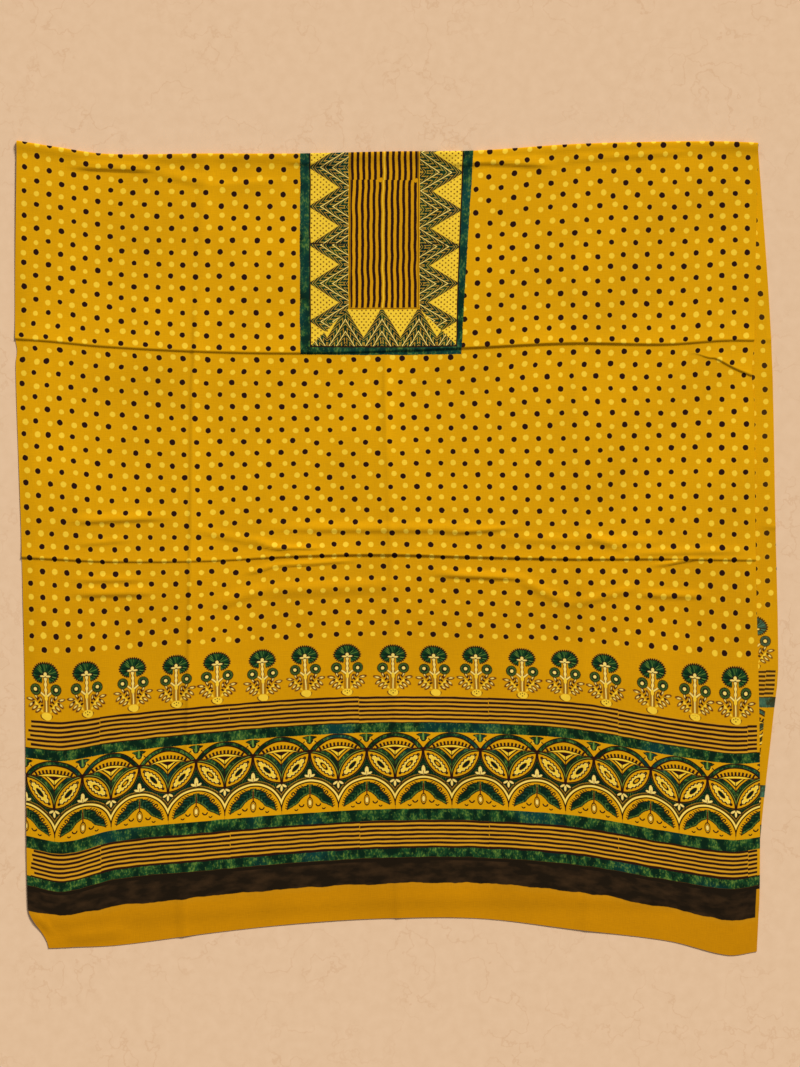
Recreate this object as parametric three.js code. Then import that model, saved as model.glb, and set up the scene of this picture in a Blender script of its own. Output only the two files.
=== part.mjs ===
// A dress length of block-printed ajrakh cloth, folded in half and laid face up on a table.
// Millimetres, +X across the cloth, +Y towards the fold, +Z up. The origin is the middle of the
// footprint, on the table.

import * as THREE from "three";

// Driving sizes
const CLOTH_WIDTH = 1105; // between the selvedges
const THICKNESS = 1.2;
const LAYER_GAP = 0.8; // air between the two layers
const FOLD_LIFT = 3.2; // how far the soft fold stands above the layers behind it
const FOLD_REACH = 11; // how far from the fold the front layer comes down again
const OVERHANG_START = 7; // how far past the back layer the front starts to come down
const OVERHANG_DROP = 20; // length over which it then reaches the table
const FOLD_SETTLE = 60; // length over which the cloth is taken up by the fold
const CALM_BY_FOLD = 1.5; // the creases fade out within this many fold reaches of the fold
const LOOP_STEPS = 6; // facets round the fold
const GRID_ACROSS = 52; // widest step between grid lines across the cloth
const GRID_ALONG = 48;
const GRID_HIDDEN = 75; // widest step along the back layer, under the front

// The radius of the fold, at the middle of the cloth's thickness
const FOLD_RADIUS = (THICKNESS + LAYER_GAP + FOLD_LIFT) / 2;

// Print and crease lines that run across the cloth. "along" is the distance on the cloth from the
// front end, "left" and "right" are the selvedges, and "y" is how the line lies on the table at
// these shares of the width.
const SHARES = [0, 0.05, 0.12, 0.25, 0.38, 0.5, 0.62, 0.75, 0.88, 0.96, 1];
const FOLD_ALONG = 1180;
const BACK_END = 2311;
const FOLD_LINE = { line: "fold", along: FOLD_ALONG, left: -569.5, right: 541.5,
  y: [610.5, 601.5, 590.5, 591, 591, 594, 595.5, 605, 609, 609, 607] };
const FRONT = [
  { line: "front end", along: 0, left: -550, right: 540,
    y: [-600, -598.5, -595.5, -577, -562, -555, -555.5, -572, -589.5, -610.5, -605] },
  { line: "top of the dark band", along: 95, left: -554, right: 544,
    y: [-505.5, -515.5, -497, -483, -471, -464, -464, -475, -498.5, -511.5, -505.5] },
  { line: "top of the border", along: 340, left: -557, right: 543.5,
    y: [-257, -260.5, -251, -237, -226, -222, -224, -232, -254.5, -266, -265.5] },
  { line: "lower crease", along: 566, left: -562, right: 538,
    y: [-13.5, -16.5, -20, -19, -11.5, -9.5, -13, -16, -16, -17.5, -18] },
  { line: "upper crease", along: 884, left: -572, right: 536,
    y: [314, 310, 302.5, 295, 292.5, 295.5, 301, 307.5, 306, 311.5, 311.5] },
  FOLD_LINE,
];
const BACK = [
  FOLD_LINE,
  { line: "upper crease", along: 1476, left: -544, right: 561.5,
    y: [314, 310, 302.5, 295, 292.5, 295.5, 301, 307.5, 306, 311.5, 312] },
  { line: "lower crease", along: 1756, left: -537.5, right: 568,
    y: [0, 0, -1.5, 3, 10.5, 15, 18, 22.5, 27, 30, 31.5] },
  { line: "top of the border", along: 1973, left: -534, right: 572,
    y: [-220.5, -219, -214.5, -205.5, -196.5, -192, -189, -187.5, -187.5, -186, -186] },
  { line: "top of the arches", along: 2029, left: -537, right: 566,
    y: [-276, -274.5, -270, -261, -252, -247.5, -244.5, -243, -243, -241.5, -241.5] },
  { line: "top of the dark band", along: 2216, left: -541, right: 545.5,
    y: [-465, -463.5, -457.5, -447, -438, -433.5, -430.5, -429, -429, -429, -430.5] },
  { line: "back end", along: BACK_END, left: -538, right: 540.5,
    y: [-550.5, -549, -544.5, -534, -523.5, -517.5, -516, -517.5, -520.5, -523.5, -525] },
];

// Sharp packing creases that follow a line of the table above. A crease is a low ridge, gentle on
// the side of the fold and steep below it.
const CROSS_CREASES = [
  { line: "upper crease", rise: 4.5, gentle: 17, steep: 3.5 },
  { line: "lower crease", rise: 5, gentle: 15, steep: 3.5 },
];

// Packing creases that run down the front, by the share of the width where each starts and ends.
const DOWN_CREASES = [
  { name: "left quarter", top: 0.237, bottom: 0.258, rise: 2.6, gentle: 12, steep: 5 },
  { name: "middle", top: 0.5, bottom: 0.51, rise: 1.8, gentle: 14, steep: 8 },
  { name: "right quarter", top: 0.757, bottom: 0.765, rise: 1.6, gentle: 14, steep: 8 },
];

// Soft wrinkles of the front, each a low rounded ridge between two places on the table.
const WRINKLES = [
  { name: "slack behind the fold, left", from: [-520, 580], to: [-330, 566], rise: 2.5, half: 14 },
  { name: "slack behind the fold, right", from: [100, 590], to: [235, 597], rise: 2, half: 12 },
  { name: "above the lower crease, left", from: [-490, 50], to: [-365, 52], rise: 2.6, half: 13 },
  { name: "above the lower crease, middle", from: [-195, 46], to: [10, 44], rise: 2.8, half: 13 },
  { name: "above the lower crease, right", from: [285, 26], to: [355, 14], rise: 2, half: 10 },
  { name: "below the lower crease, left", from: [-500, -58], to: [-350, -52], rise: 2.6, half: 13 },
  { name: "below the lower crease, right", from: [300, -62], to: [440, -60], rise: 2.6, half: 13 },
  { name: "across the left of the hem", from: [-470, -560], to: [-330, -545], rise: 2.4, half: 16 },
  { name: "across the right of the hem", from: [150, -540], to: [300, -556], rise: 2, half: 16 },
];
const WRINKLE_REACH = 0.95; // share of a wrinkle's half length at which it has sunk to a third
const WRINKLE_BLUNTNESS = 6; // how suddenly it ends there

// The short tuck that runs down to the right selvedge just under the upper crease. The front's
// tuck and the back's are the same pinch, so they nearly meet.
const FLAT_BELOW = 0.15; // the tails of a back crease, lower than this, lie flat on the table
const FRONT_TUCK = { from: [450, 290], to: [536, 263], rise: 3.4, gentle: 9, steep: 3 };
const BACK_FOLDS = [
  { name: "tuck", from: [549, 264], to: [590, 248], rise: 2.2, gentle: 9, steep: 3 },
  { name: "upper crease", from: [549, 312], to: [590, 312], rise: 1.6, gentle: 10, steep: 3 },
  { name: "lower crease", from: [549, 31], to: [590, 31], rise: 2, gentle: 10, steep: 3 },
  { name: "by the border", from: [554, -291], to: [590, -296], rise: 2, gentle: 10, steep: 5 },
];

// Places where a selvedge is drawn in a little, and the front's left corner, drawn in more.
const NICKS = [
  { name: "under the upper crease", side: "left", along: 866, inward: 2.6, half: 12 },
  { name: "at the tuck", side: "right", along: 836, inward: 4, half: 30 },
];
const CORNER_PULL = 28;
const CORNER_ACROSS = 90;
const CORNER_ALONG = 62;

// Extra grid lines beside each crease, as distances from its crest.
const BESIDE_UPPER = [-14, -4, 0, 6, 20];
const BESIDE_LOWER = [-82, -68, -54, -40, -14, -4, 0, 6, 20, 44, 56, 70];
const BESIDE_FOLD = [-34, -22, -13, -6];
const BESIDE_END = [22, 44, 66, 88];
const BESIDE_DOWN = [-10, 0, 8];
const BESIDE_SELVEDGE = [6, 24]; // in from either selvedge

// The same on the back layer: the upper crease with the tuck below it, the lower crease, and the
// small fold beside the arches.
const BESIDE_BACK_UPPER = [-6, 0, 4, 40, 46, 52];
const BESIDE_BACK_LOWER = [-6, 0, 4];
const BESIDE_BACK_ARCHES = [40, 50, 60];

/** A smooth curve through the points (xs, ys), by cubic pieces with averaged slopes. */
function through(xs, ys, x) {
  const last = xs.length - 1;
  let k = 0;
  while (k < last - 1 && x > xs[k + 1]) k += 1;
  const slope = (i) => {
    const a = Math.max(i - 1, 0);
    const b = Math.min(i + 1, last);
    return (ys[b] - ys[a]) / (xs[b] - xs[a]);
  };
  const step = xs[k + 1] - xs[k];
  const t = Math.min(Math.max((x - xs[k]) / step, 0), 1);
  const rest = 1 - t;
  return (
    ys[k] * (1 + 2 * t) * rest * rest +
    ys[k + 1] * (3 - 2 * t) * t * t +
    step * t * rest * (slope(k) * rest - slope(k + 1) * t)
  );
}

/** 0 at or under zero, 1 at or over one, and smooth between. */
function smooth(t) {
  const c = Math.min(Math.max(t, 0), 1);
  return c * c * (3 - 2 * c);
}

/** Where a place on the cloth lies on the table: a share of the width and a distance along. */
function place(rows, share, along) {
  const alongs = rows.map((row) => row.along);
  const mix = (values) => through(alongs, values, along);
  let left = mix(rows.map((row) => row.left));
  let right = mix(rows.map((row) => row.right));
  if (rows === FRONT) {
    for (const nick of NICKS) {
      const pull = nick.inward * Math.exp(-(((along - nick.along) / nick.half) ** 2));
      if (nick.side === "left") left += pull;
      else right -= pull;
    }
  }
  let x = left + (right - left) * share;
  if (rows === FRONT) {
    const byCorner = smooth(1 - (share * CLOTH_WIDTH) / CORNER_ACROSS);
    x += CORNER_PULL * byCorner * smooth(1 - along / CORNER_ALONG);
  }
  const y = mix(rows.map((row) => through(SHARES, row.y, share)));
  return [x, y];
}

/** The y of a named line of the front at a place x on the table. */
function lineAt(name, x) {
  const row = FRONT.find((each) => each.line === name);
  return through(SHARES, row.y, (x - row.left) / (row.right - row.left));
}

/** Height of a crease at a distance from its crest, positive on the gentle side. */
function ridge(distance, rise, gentle, steep) {
  return rise * Math.exp(-Math.abs(distance) / (distance > 0 ? gentle : steep));
}

/** Share along a stretch between two places, and distance to its left. */
function beside([x0, y0], [x1, y1], x, y) {
  const length = Math.hypot(x1 - x0, y1 - y0);
  const dx = (x1 - x0) / length;
  const dy = (y1 - y0) / length;
  return [((x - x0) * dx + (y - y0) * dy) / length, (y - y0) * dx - (x - x0) * dy];
}

/** Fades a wrinkle out at both of its ends. */
function endFade(share) {
  return Math.exp(-(((2 * share - 1) / WRINKLE_REACH) ** WRINKLE_BLUNTNESS));
}

/** How high the back layer's underside stands off the table. */
function backLift(x, y) {
  let lift = 0;
  for (const fold of BACK_FOLDS) {
    const [share, distance] = beside(fold.from, fold.to, x, y);
    const high = endFade(share) * ridge(distance, fold.rise, fold.gentle, fold.steep);
    lift += Math.max(high - FLAT_BELOW, 0);
  }
  return lift;
}

/** How far a place lies outside the back layer, past its left selvedge or its end. */
function outsideBack(x, y) {
  const yTop = BACK[0].y[0];
  const yEnd = BACK[BACK.length - 1].y[0];
  const along = FOLD_ALONG + ((yTop - y) / (yTop - yEnd)) * (BACK_END - FOLD_ALONG);
  const [left] = place(BACK, 0, Math.min(along, BACK_END));
  const [right] = place(BACK, 1, Math.min(along, BACK_END));
  const end = place(BACK, (x - left) / (right - left), BACK_END)[1];
  return Math.max(left - x, end - y, x - right, 0);
}

/** The rise of the front's creases, wrinkles and tuck at a place on the table. */
function frontRelief(x, y, share, along) {
  let rise = 0;
  for (const crease of CROSS_CREASES) {
    rise += ridge(y - lineAt(crease.line, x), crease.rise, crease.gentle, crease.steep);
  }
  for (const crease of DOWN_CREASES) {
    const shareHere = crease.bottom + ((crease.top - crease.bottom) * along) / FOLD_ALONG;
    const distance = (shareHere - share) * CLOTH_WIDTH;
    rise += ridge(distance, crease.rise, crease.gentle, crease.steep);
  }
  for (const wrinkle of WRINKLES) {
    const [part, distance] = beside(wrinkle.from, wrinkle.to, x, y);
    rise += wrinkle.rise * endFade(part) * Math.exp(-((distance / wrinkle.half) ** 2));
  }
  const [part, distance] = beside(FRONT_TUCK.from, FRONT_TUCK.to, x, y);
  rise += endFade(part) * ridge(distance, FRONT_TUCK.rise, FRONT_TUCK.gentle, FRONT_TUCK.steep);
  return rise;
}

/** The middle of the front layer's thickness above the table. */
function frontMiddle(x, y, share, along) {
  const over = 1 - smooth((outsideBack(x, y) - OVERHANG_START) / OVERHANG_DROP);
  const toFold = (FOLD_ALONG - along) / FOLD_REACH;
  const fold = FOLD_LIFT * Math.exp(-(toFold ** 2));
  const relief = frontRelief(x, y, share, along) * smooth(toFold / CALM_BY_FOLD);
  return THICKNESS / 2 + backLift(x, y) + (THICKNESS + LAYER_GAP) * over + fold + relief;
}

/** How far the fold's roundness draws the cloth back from the fold line. */
function takenUp(along) {
  return FOLD_RADIUS * smooth(1 - Math.abs(along - FOLD_ALONG) / FOLD_SETTLE);
}

/** The outer, printed face and the inner face of the cloth at a share and a station along it. */
function section(share, station) {
  const half = THICKNESS / 2;
  if (station.part === "front") {
    const [x, yFlat] = place(FRONT, share, station.along);
    const y = yFlat - takenUp(station.along);
    const z = frontMiddle(x, y, share, station.along);
    return [[x, y, z + half], [x, y, z - half]];
  }
  if (station.part === "back") {
    const [x, yFlat] = place(BACK, share, station.along);
    const y = yFlat - takenUp(station.along);
    const z = half + backLift(x, y);
    return [[x, y, z - half], [x, y, z + half]];
  }
  const [x, yFold] = place(FRONT, share, FOLD_ALONG);
  const round = (radius) => [
    x,
    yFold - FOLD_RADIUS + radius * Math.cos(station.angle),
    half + FOLD_RADIUS + radius * Math.sin(station.angle),
  ];
  return [round(FOLD_RADIUS + half), round(FOLD_RADIUS - half)];
}

/** Grid lines from start to end: the wanted ones, and even steps no wider than widest between. */
function gridLines(start, end, wanted, widest) {
  const fixed = [start, ...wanted.filter((line) => line > start && line < end), end];
  const lines = [start];
  for (let k = 1; k < fixed.length; k += 1) {
    const steps = Math.ceil((fixed[k] - fixed[k - 1]) / widest);
    for (let n = 1; n <= steps; n += 1) {
      lines.push(fixed[k - 1] + ((fixed[k] - fixed[k - 1]) * n) / steps);
    }
  }
  return lines;
}

/** The cloth as one closed solid, from the front end over the fold to the back end. */
function foldedCloth() {
  const alongOf = (rows, name) => rows.find((row) => row.line === name).along;
  const nearLines = (middle, offsets) => offsets.map((offset) => middle + offset);

  const downLines = DOWN_CREASES.flatMap((crease) =>
    nearLines(((crease.top + crease.bottom) / 2) * CLOTH_WIDTH, BESIDE_DOWN),
  );
  const edgeLines = BESIDE_SELVEDGE.flatMap((inward) => [inward, CLOTH_WIDTH - inward]);
  const across = gridLines(
    0,
    CLOTH_WIDTH,
    [...downLines, ...edgeLines].sort((a, b) => a - b),
    GRID_ACROSS,
  );
  const frontLines = [
    ...BESIDE_END,
    ...nearLines(alongOf(FRONT, "lower crease"), BESIDE_LOWER),
    ...nearLines(alongOf(FRONT, "upper crease"), BESIDE_UPPER),
    ...nearLines(FOLD_ALONG, BESIDE_FOLD),
  ];
  const backLines = [
    ...nearLines(alongOf(BACK, "upper crease"), BESIDE_BACK_UPPER),
    ...nearLines(alongOf(BACK, "lower crease"), BESIDE_BACK_LOWER),
    ...nearLines(alongOf(BACK, "top of the arches"), BESIDE_BACK_ARCHES),
  ];
  const stations = [
    ...gridLines(0, FOLD_ALONG, frontLines, GRID_ALONG).map((along) => ({ part: "front", along })),
    ...Array.from({ length: LOOP_STEPS - 1 }, (_, n) => ({
      part: "loop",
      angle: Math.PI / 2 - ((n + 1) * Math.PI) / LOOP_STEPS,
    })),
    ...gridLines(FOLD_ALONG, BACK_END, backLines, GRID_HIDDEN).map((along) => ({
      part: "back",
      along,
    })),
  ];

  const points = [];
  for (const station of stations) {
    for (const line of across) {
      const [outer, inner] = section(line / CLOTH_WIDTH, station);
      points.push(...outer, ...inner);
    }
  }
  const row = across.length;
  const outerAt = (s, a) => 2 * (s * row + a);
  const innerAt = (s, a) => outerAt(s, a) + 1;
  const faces = [];
  const quad = (a, b, c, d) => faces.push(a, b, c, a, c, d);
  for (let s = 0; s < stations.length - 1; s += 1) {
    for (let a = 0; a < row - 1; a += 1) {
      quad(outerAt(s, a), outerAt(s, a + 1), outerAt(s + 1, a + 1), outerAt(s + 1, a));
      quad(innerAt(s, a), innerAt(s + 1, a), innerAt(s + 1, a + 1), innerAt(s, a + 1));
    }
    quad(outerAt(s, 0), outerAt(s + 1, 0), innerAt(s + 1, 0), innerAt(s, 0));
    const end = row - 1;
    quad(outerAt(s, end), innerAt(s, end), innerAt(s + 1, end), outerAt(s + 1, end));
  }
  const last = stations.length - 1;
  for (let a = 0; a < row - 1; a += 1) {
    quad(outerAt(0, a), innerAt(0, a), innerAt(0, a + 1), outerAt(0, a + 1));
    quad(outerAt(last, a), outerAt(last, a + 1), innerAt(last, a + 1), innerAt(last, a));
  }
  const geometry = new THREE.BufferGeometry();
  geometry.setAttribute("position", new THREE.Float32BufferAttribute(points, 3));
  geometry.setIndex(faces);
  geometry.computeBoundingBox();
  const middle = geometry.boundingBox.getCenter(new THREE.Vector3());
  geometry.translate(-middle.x, -middle.y, 0);
  geometry.computeVertexNormals();
  return geometry;
}

// Fine cotton, dyed mustard, with a dull finish
const mustardCotton = new THREE.MeshStandardMaterial({
  color: 0xcc9400,
  roughness: 0.85,
  metalness: 0,
});

const cloth = new THREE.Mesh(foldedCloth(), mustardCotton);
cloth.name = "cloth";

const fabric = new THREE.Group();
fabric.add(cloth);

export default fabric;
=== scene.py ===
# %% [markdown]
# # A folded length of ajrakh cloth
# One length of fine mustard cotton, printed with wooden blocks, is folded in half and laid face up
# on a pale table. This lesson builds the cloth as one thin sheet with its creases, and then prints
# it with shader nodes, one printed zone at a time. The packed CAD model is loaded first, because
# the sheet has to lie where the CAD solid lies.

import functools
import math
from types import SimpleNamespace

import bpy
import numpy as np
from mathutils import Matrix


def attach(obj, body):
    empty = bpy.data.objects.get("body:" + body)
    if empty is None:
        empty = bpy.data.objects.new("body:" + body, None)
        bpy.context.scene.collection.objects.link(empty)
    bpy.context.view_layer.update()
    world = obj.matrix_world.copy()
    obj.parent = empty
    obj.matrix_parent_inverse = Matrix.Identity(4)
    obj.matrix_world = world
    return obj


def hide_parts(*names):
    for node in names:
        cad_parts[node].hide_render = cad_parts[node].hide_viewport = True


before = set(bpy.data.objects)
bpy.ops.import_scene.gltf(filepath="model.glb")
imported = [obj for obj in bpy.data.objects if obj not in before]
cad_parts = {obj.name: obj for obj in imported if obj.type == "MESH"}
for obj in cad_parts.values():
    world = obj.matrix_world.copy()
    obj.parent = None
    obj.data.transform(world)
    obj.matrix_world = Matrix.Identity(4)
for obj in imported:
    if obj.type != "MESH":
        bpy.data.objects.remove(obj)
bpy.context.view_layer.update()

# %% [markdown]
# The real cloth is about 1.1 m wide between its selvedges and 2.3 m long, and it is folded across
# its length. All sizes below are millimetres on the cloth or on the table, and one factor turns
# them into Blender's metres. The two layers keep the distance that they have in the CAD solid.

# %% The cloth's sizes
MM = 0.001
WIDTH = 1105.0
THICKNESS = 0.8
LAYER_PITCH = 2.0  # from the middle of one layer to the middle of the other
FOLD_LIFT = 3.2  # the soft fold stands this much higher than the flat layers
FOLD_REACH = 11.0  # how far from the fold the lift is felt
RELIEF_FADE = 1.5 * FOLD_REACH  # nearer to the fold, wrinkles die away
FOLD_SETTLE = 60.0  # how far from the fold the cloth is drawn back by it
FOLD_RADIUS = (LAYER_PITCH + FOLD_LIFT) / 2
OVERHANG_START, OVERHANG_DROP = 7.0, 20.0  # past the back layer the front comes down
FOLD_ALONG, BACK_END = 1180.0, 2311.0  # from the front end, along the cloth
RECENTRE = (0.12, -0.84)  # puts the middle of the footprint on the origin
print("Flat cloth", WIDTH, "by", BACK_END, "mm")

# %% [markdown]
# The cloth does not lie square: its edges wander, and the printed rows bow upwards in the middle.
# Each row of this table is a line across the cloth, such as a crease or the top of the border. It
# gives the distance along the cloth, the two selvedges, and how the line lies on the table at
# eleven shares of the width. Everything else is worked out between these lines.

# %% How the lines of the cloth lie on the table
SHARES = [0, 0.05, 0.12, 0.25, 0.38, 0.5, 0.62, 0.75, 0.88, 0.96, 1]
FRONT = {  # line: (along, left, right, y at the shares)
    "front end": (0, -550, 540,
        [-600, -598.5, -595.5, -577, -562, -555, -555.5, -572, -589.5, -610.5, -605]),
    "top of the dark band": (95, -554, 544,
        [-505.5, -515.5, -497, -483, -471, -464, -464, -475, -498.5, -511.5, -505.5]),
    "top of the border": (340, -557, 543.5,
        [-257, -260.5, -251, -237, -226, -222, -224, -232, -254.5, -266, -265.5]),
    "lower crease": (566, -562, 538,
        [-13.5, -16.5, -20, -19, -11.5, -9.5, -13, -16, -16, -17.5, -18]),
    "upper crease": (884, -572, 536,
        [314, 310, 302.5, 295, 292.5, 295.5, 301, 307.5, 306, 311.5, 311.5]),
    "fold": (1180, -569.5, 541.5,
        [610.5, 601.5, 590.5, 591, 591, 594, 595.5, 605, 609, 609, 607]),
}
BACK = {
    "fold": FRONT["fold"],
    "upper crease": (1476, -544, 561.5,
        [314, 310, 302.5, 295, 292.5, 295.5, 301, 307.5, 306, 311.5, 312]),
    "lower crease": (1756, -537.5, 568,
        [0, 0, -1.5, 3, 10.5, 15, 18, 22.5, 27, 30, 31.5]),
    "top of the border": (1973, -534, 572,
        [-220.5, -219, -214.5, -205.5, -196.5, -192, -189, -187.5, -187.5, -186, -186]),
    "top of the arches": (2029, -537, 566,
        [-276, -274.5, -270, -261, -252, -247.5, -244.5, -243, -243, -241.5, -241.5]),
    "top of the dark band": (2216, -541, 545.5,
        [-465, -463.5, -457.5, -447, -438, -433.5, -430.5, -429, -429, -429, -430.5]),
    "back end": (2311, -538, 540.5,
        [-550.5, -549, -544.5, -534, -523.5, -517.5, -516, -517.5, -520.5, -523.5, -525]),
}
print(len(FRONT), "lines on the front and", len(BACK), "on the back, at", len(SHARES), "shares")

# %% [markdown]
# Cloth that was packed small keeps its creases. A packing crease is a low ridge, gentle on one
# side and steep on the other, and that steep side is what draws the thin dark line. The soft
# wrinkles round them are built the same way. They could come from a cloth simulation, but then they
# would not lie where the real ones lie, so each one is a named row in a table.

# %% Packing creases and wrinkles
CREASE_MARKS = [0, 0.25, 0.45, 0.75, 1]  # shares of the width
CROSS_CREASES = {  # line: (rise, gentle side, steep side, strength at the marks)
    "upper crease": (2.9, 17, 0.9, [0.8, 0.85, 0.9, 1.15, 0.8]),
    "lower crease": (2.9, 15, 0.9, [0.9, 0.75, 1.15, 1.0, 0.75]),
}
DOWN_CREASES = {  # share at the fold, share at the front end, rise, gentle side, steep side
    "left quarter": (0.2525, 0.208, 2.0, 13, 2.0),
    "middle": (0.499, 0.505, 1.2, 12, 4),
    "right quarter": (0.757, 0.765, 0.8, 14, 8),
}
WRINKLES = {  # from, to, rise, gentle side (left of the direction), steep side
    "behind the fold, left": ((-490, 571), (-359, 566), 3.6, 26, 6.2),
    "behind the fold, falling": ((-370, 564), (-273, 543), 1.6, 17, 10),
    "behind the fold, inner": ((-284, 543), (-175, 551), 1.5, 7, 17.5),
    "behind the fold, right": ((102, 579), (237, 573), 3.2, 22, 6.2),
    "behind the fold, far right": ((230, 580), (455, 596), 1.6, 14, 10),
    "middle": ((-18, 290), (-19, 132), 1.2, 12, 3),
    "above, far left": ((-490, 39), (-344, 45), 3.1, 14, 6.2),
    "above, far left, low": ((-483, 4), (-399, 12), 1.5, 10, 5),
    "above, left branch": ((-306, 28), (-138, -9), 1.6, 12, 7.5),
    "above, middle": ((-194, 29), (177, 28), 2.9, 14, 8.8),
    "above, inner": ((72, 21), (174, 31), 2.1, 7, 5),
    "above, long": ((147, 14), (410, 8), 1.8, 12, 11.2),
    "above, right": ((267, 27), (351, -4), 2.0, 7, 11.2),
    "above, far right": ((342, -8), (522, -4), 1.8, 11, 7.5),
    "at the crease, slant": ((-220, 16), (-184, -2), 2.1, 8, 2),
    "at the crease, level": ((-192, -1), (-115, -1), 2.4, 8, 2),
    "under the crease, slant": ((-222, -40), (-181, -26), 2.5, 8, 2.2),
    "under the crease, level": ((-190, -28), (-63, -20), 2.5, 8, 2.2),
    "below, left rise": ((-276, -88), (-198, -61), 2.4, 17, 12.5),
    "below, left": ((-216, -64), (5, -54), 2.5, 14, 17.5),
    "below, far left": ((-486, -70), (-366, -68), 3.2, 14, 6.2),
    "below, far left, near": ((-483, -49), (-378, -48), 1.8, 10, 5),
    "below, middle": ((54, -40), (196, -46), 3.5, 12, 5),
    "below, middle fall": ((181, -45), (264, -88), 2.4, 12, 11.2),
    "branch": ((386, -28), (449, -16), 2.8, 6, 2.5),
    "below, right": ((260, -86), (361, -58), 2.4, 10, 10),
    "below, far right": ((361, -70), (462, -72), 2.8, 11, 7.5),
    "hem, left": ((-495, -583), (-400, -572), 2.4, 14, 17.5),
    "front corner": ((-546, -548), (-516, -577), 2.0, 7, 1.2),
    "beside the panel, left": ((-168, 580), (-70, 574), 2.8, 18, 7),
    "beside the panel, right": ((78, 576), (128, 575), 2.8, 18, 7),
}
print(len(WRINKLES), "wrinkles and", len(CROSS_CREASES) + len(DOWN_CREASES), "packing creases")

# %% [markdown]
# Between the lines of the tables the cloth runs smoothly. This helper draws a smooth curve through
# points. It also takes whole rows of points at once, which is how one call lays out the full grid.

# %% Smooth curves through the tables
def through(xs, ys, x):
    """A smooth curve through (xs, ys), at every place in x."""
    xs, ys, x = np.asarray(xs, float), np.asarray(ys, float), np.asarray(x, float)
    low = np.clip(np.searchsorted(xs, x, side="right") - 1, 0, len(xs) - 2)
    after = np.minimum(np.arange(len(xs)) + 1, len(xs) - 1)
    before = np.maximum(np.arange(len(xs)) - 1, 0)
    slopes = (ys[after] - ys[before]) / (xs[after] - xs[before])
    step = xs[low + 1] - xs[low]
    t = np.clip((x - xs[low]) / step, 0, 1)
    rest = 1 - t
    ends = ys[low] * (1 + 2 * t) * rest**2 + ys[low + 1] * (3 - 2 * t) * t**2
    return ends + step * t * rest * (slopes[low] * rest - slopes[low + 1] * t)


def smooth(t):
    """0 at or under zero, 1 at or over one, and smooth between."""
    t = np.clip(t, 0, 1)
    return t * t * (3 - 2 * t)


fold_middle = through(SHARES, FRONT["fold"][3], 0.5)
print("The middle of the fold lies", round(float(fold_middle), 1), "mm up the table")

# %% [markdown]
# With these curves every place on the cloth gets a place on the table. The selvedges are not quite
# smooth: they are drawn in where a crease or the tuck pulls at them, and so is one front corner.
# Each of these is one more number in a table, added to the smooth edge.

# %% Lay the cloth out
NICKS = {  # side, along, drawn in, half width
    "under the upper crease": ("left", 866, 2.6, 12),
    "at the tuck": ("right", 836, 4.0, 30),
}
CORNER_PULL, CORNER_ACROSS, CORNER_ALONG = 28.0, 90.0, 62.0  # the left front corner is drawn in


def lay_out(lines, shares, alongs):
    """Where a grid lies on the table, from each column's share and each place's distance along."""
    rows = list(lines.values())
    marks = [row[0] for row in rows]
    left = through(marks, [row[1] for row in rows], alongs)
    right = through(marks, [row[2] for row in rows], alongs)
    if lines is FRONT:
        for side, along, inward, half in NICKS.values():
            pull = inward * np.exp(-(((alongs - along) / half) ** 2))
            if side == "left":
                left = left + pull
            else:
                right = right - pull
    x = left + (right - left) * shares[None, :]
    if lines is FRONT:
        by_corner = smooth(1 - shares * WIDTH / CORNER_ACROSS)[None, :]
        x = x + CORNER_PULL * by_corner * smooth(1 - alongs / CORNER_ALONG)
    columns = np.array([through(SHARES, row[3], shares) for row in rows]).T
    y = [through(marks, column, alongs[:, k]) for k, column in enumerate(columns)]
    return x, np.stack(y, axis=1)


print(len(NICKS), "nicks and a corner drawn in by", CORNER_PULL, "mm")

# %% [markdown]
# The heights come next. A crease is highest on its line and falls away on both sides. The back
# layer lies flat on the table but for small folds near its open edge. The front layer rests on the
# back layer, and comes down to the table where it reaches past it.

# %% Height of the back layer
BACK_FOLDS = {  # from, to, rise, gentle side, steep side
    "tuck": ((549, 264), (590, 248), 2.2, 9, 3),
    "upper crease": ((549, 312), (590, 312), 1.6, 10, 3),
    "lower crease": ((549, 31), (590, 31), 2.0, 10, 3),
    "by the border": ((554, -291), (590, -296), 2.0, 10, 5),
}
FLAT_BELOW = 0.15  # a lower lift of the back layer counts as none
FOLD_FADE, FOLD_FADE_POWER = 0.95, 6  # how a fold of the back layer ends, in half lengths


def ridge(distance, rise, gentle, steep):
    """A crease's height at a distance from its line, positive on the gentle side."""
    return rise * np.exp(-np.abs(distance) / np.where(distance > 0, gentle, steep))


def beside(start, end, x, y):
    """The share along a stretch between two places, and the distance to its left."""
    length = math.hypot(end[0] - start[0], end[1] - start[1])
    dx, dy = (end[0] - start[0]) / length, (end[1] - start[1]) / length
    share = ((x - start[0]) * dx + (y - start[1]) * dy) / length
    return share, (y - start[1]) * dx - (x - start[0]) * dy


def back_lift(x, y):
    """How high the back layer's underside stands off the table."""
    lift = np.zeros_like(x)
    for start, end, rise, gentle, steep in BACK_FOLDS.values():
        share, distance = beside(start, end, x, y)
        fade = np.exp(-(((2 * share - 1) / FOLD_FADE) ** FOLD_FADE_POWER))
        high = fade * ridge(distance, rise, gentle, steep)
        lift += np.maximum(high - FLAT_BELOW, 0)
    return lift


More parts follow.
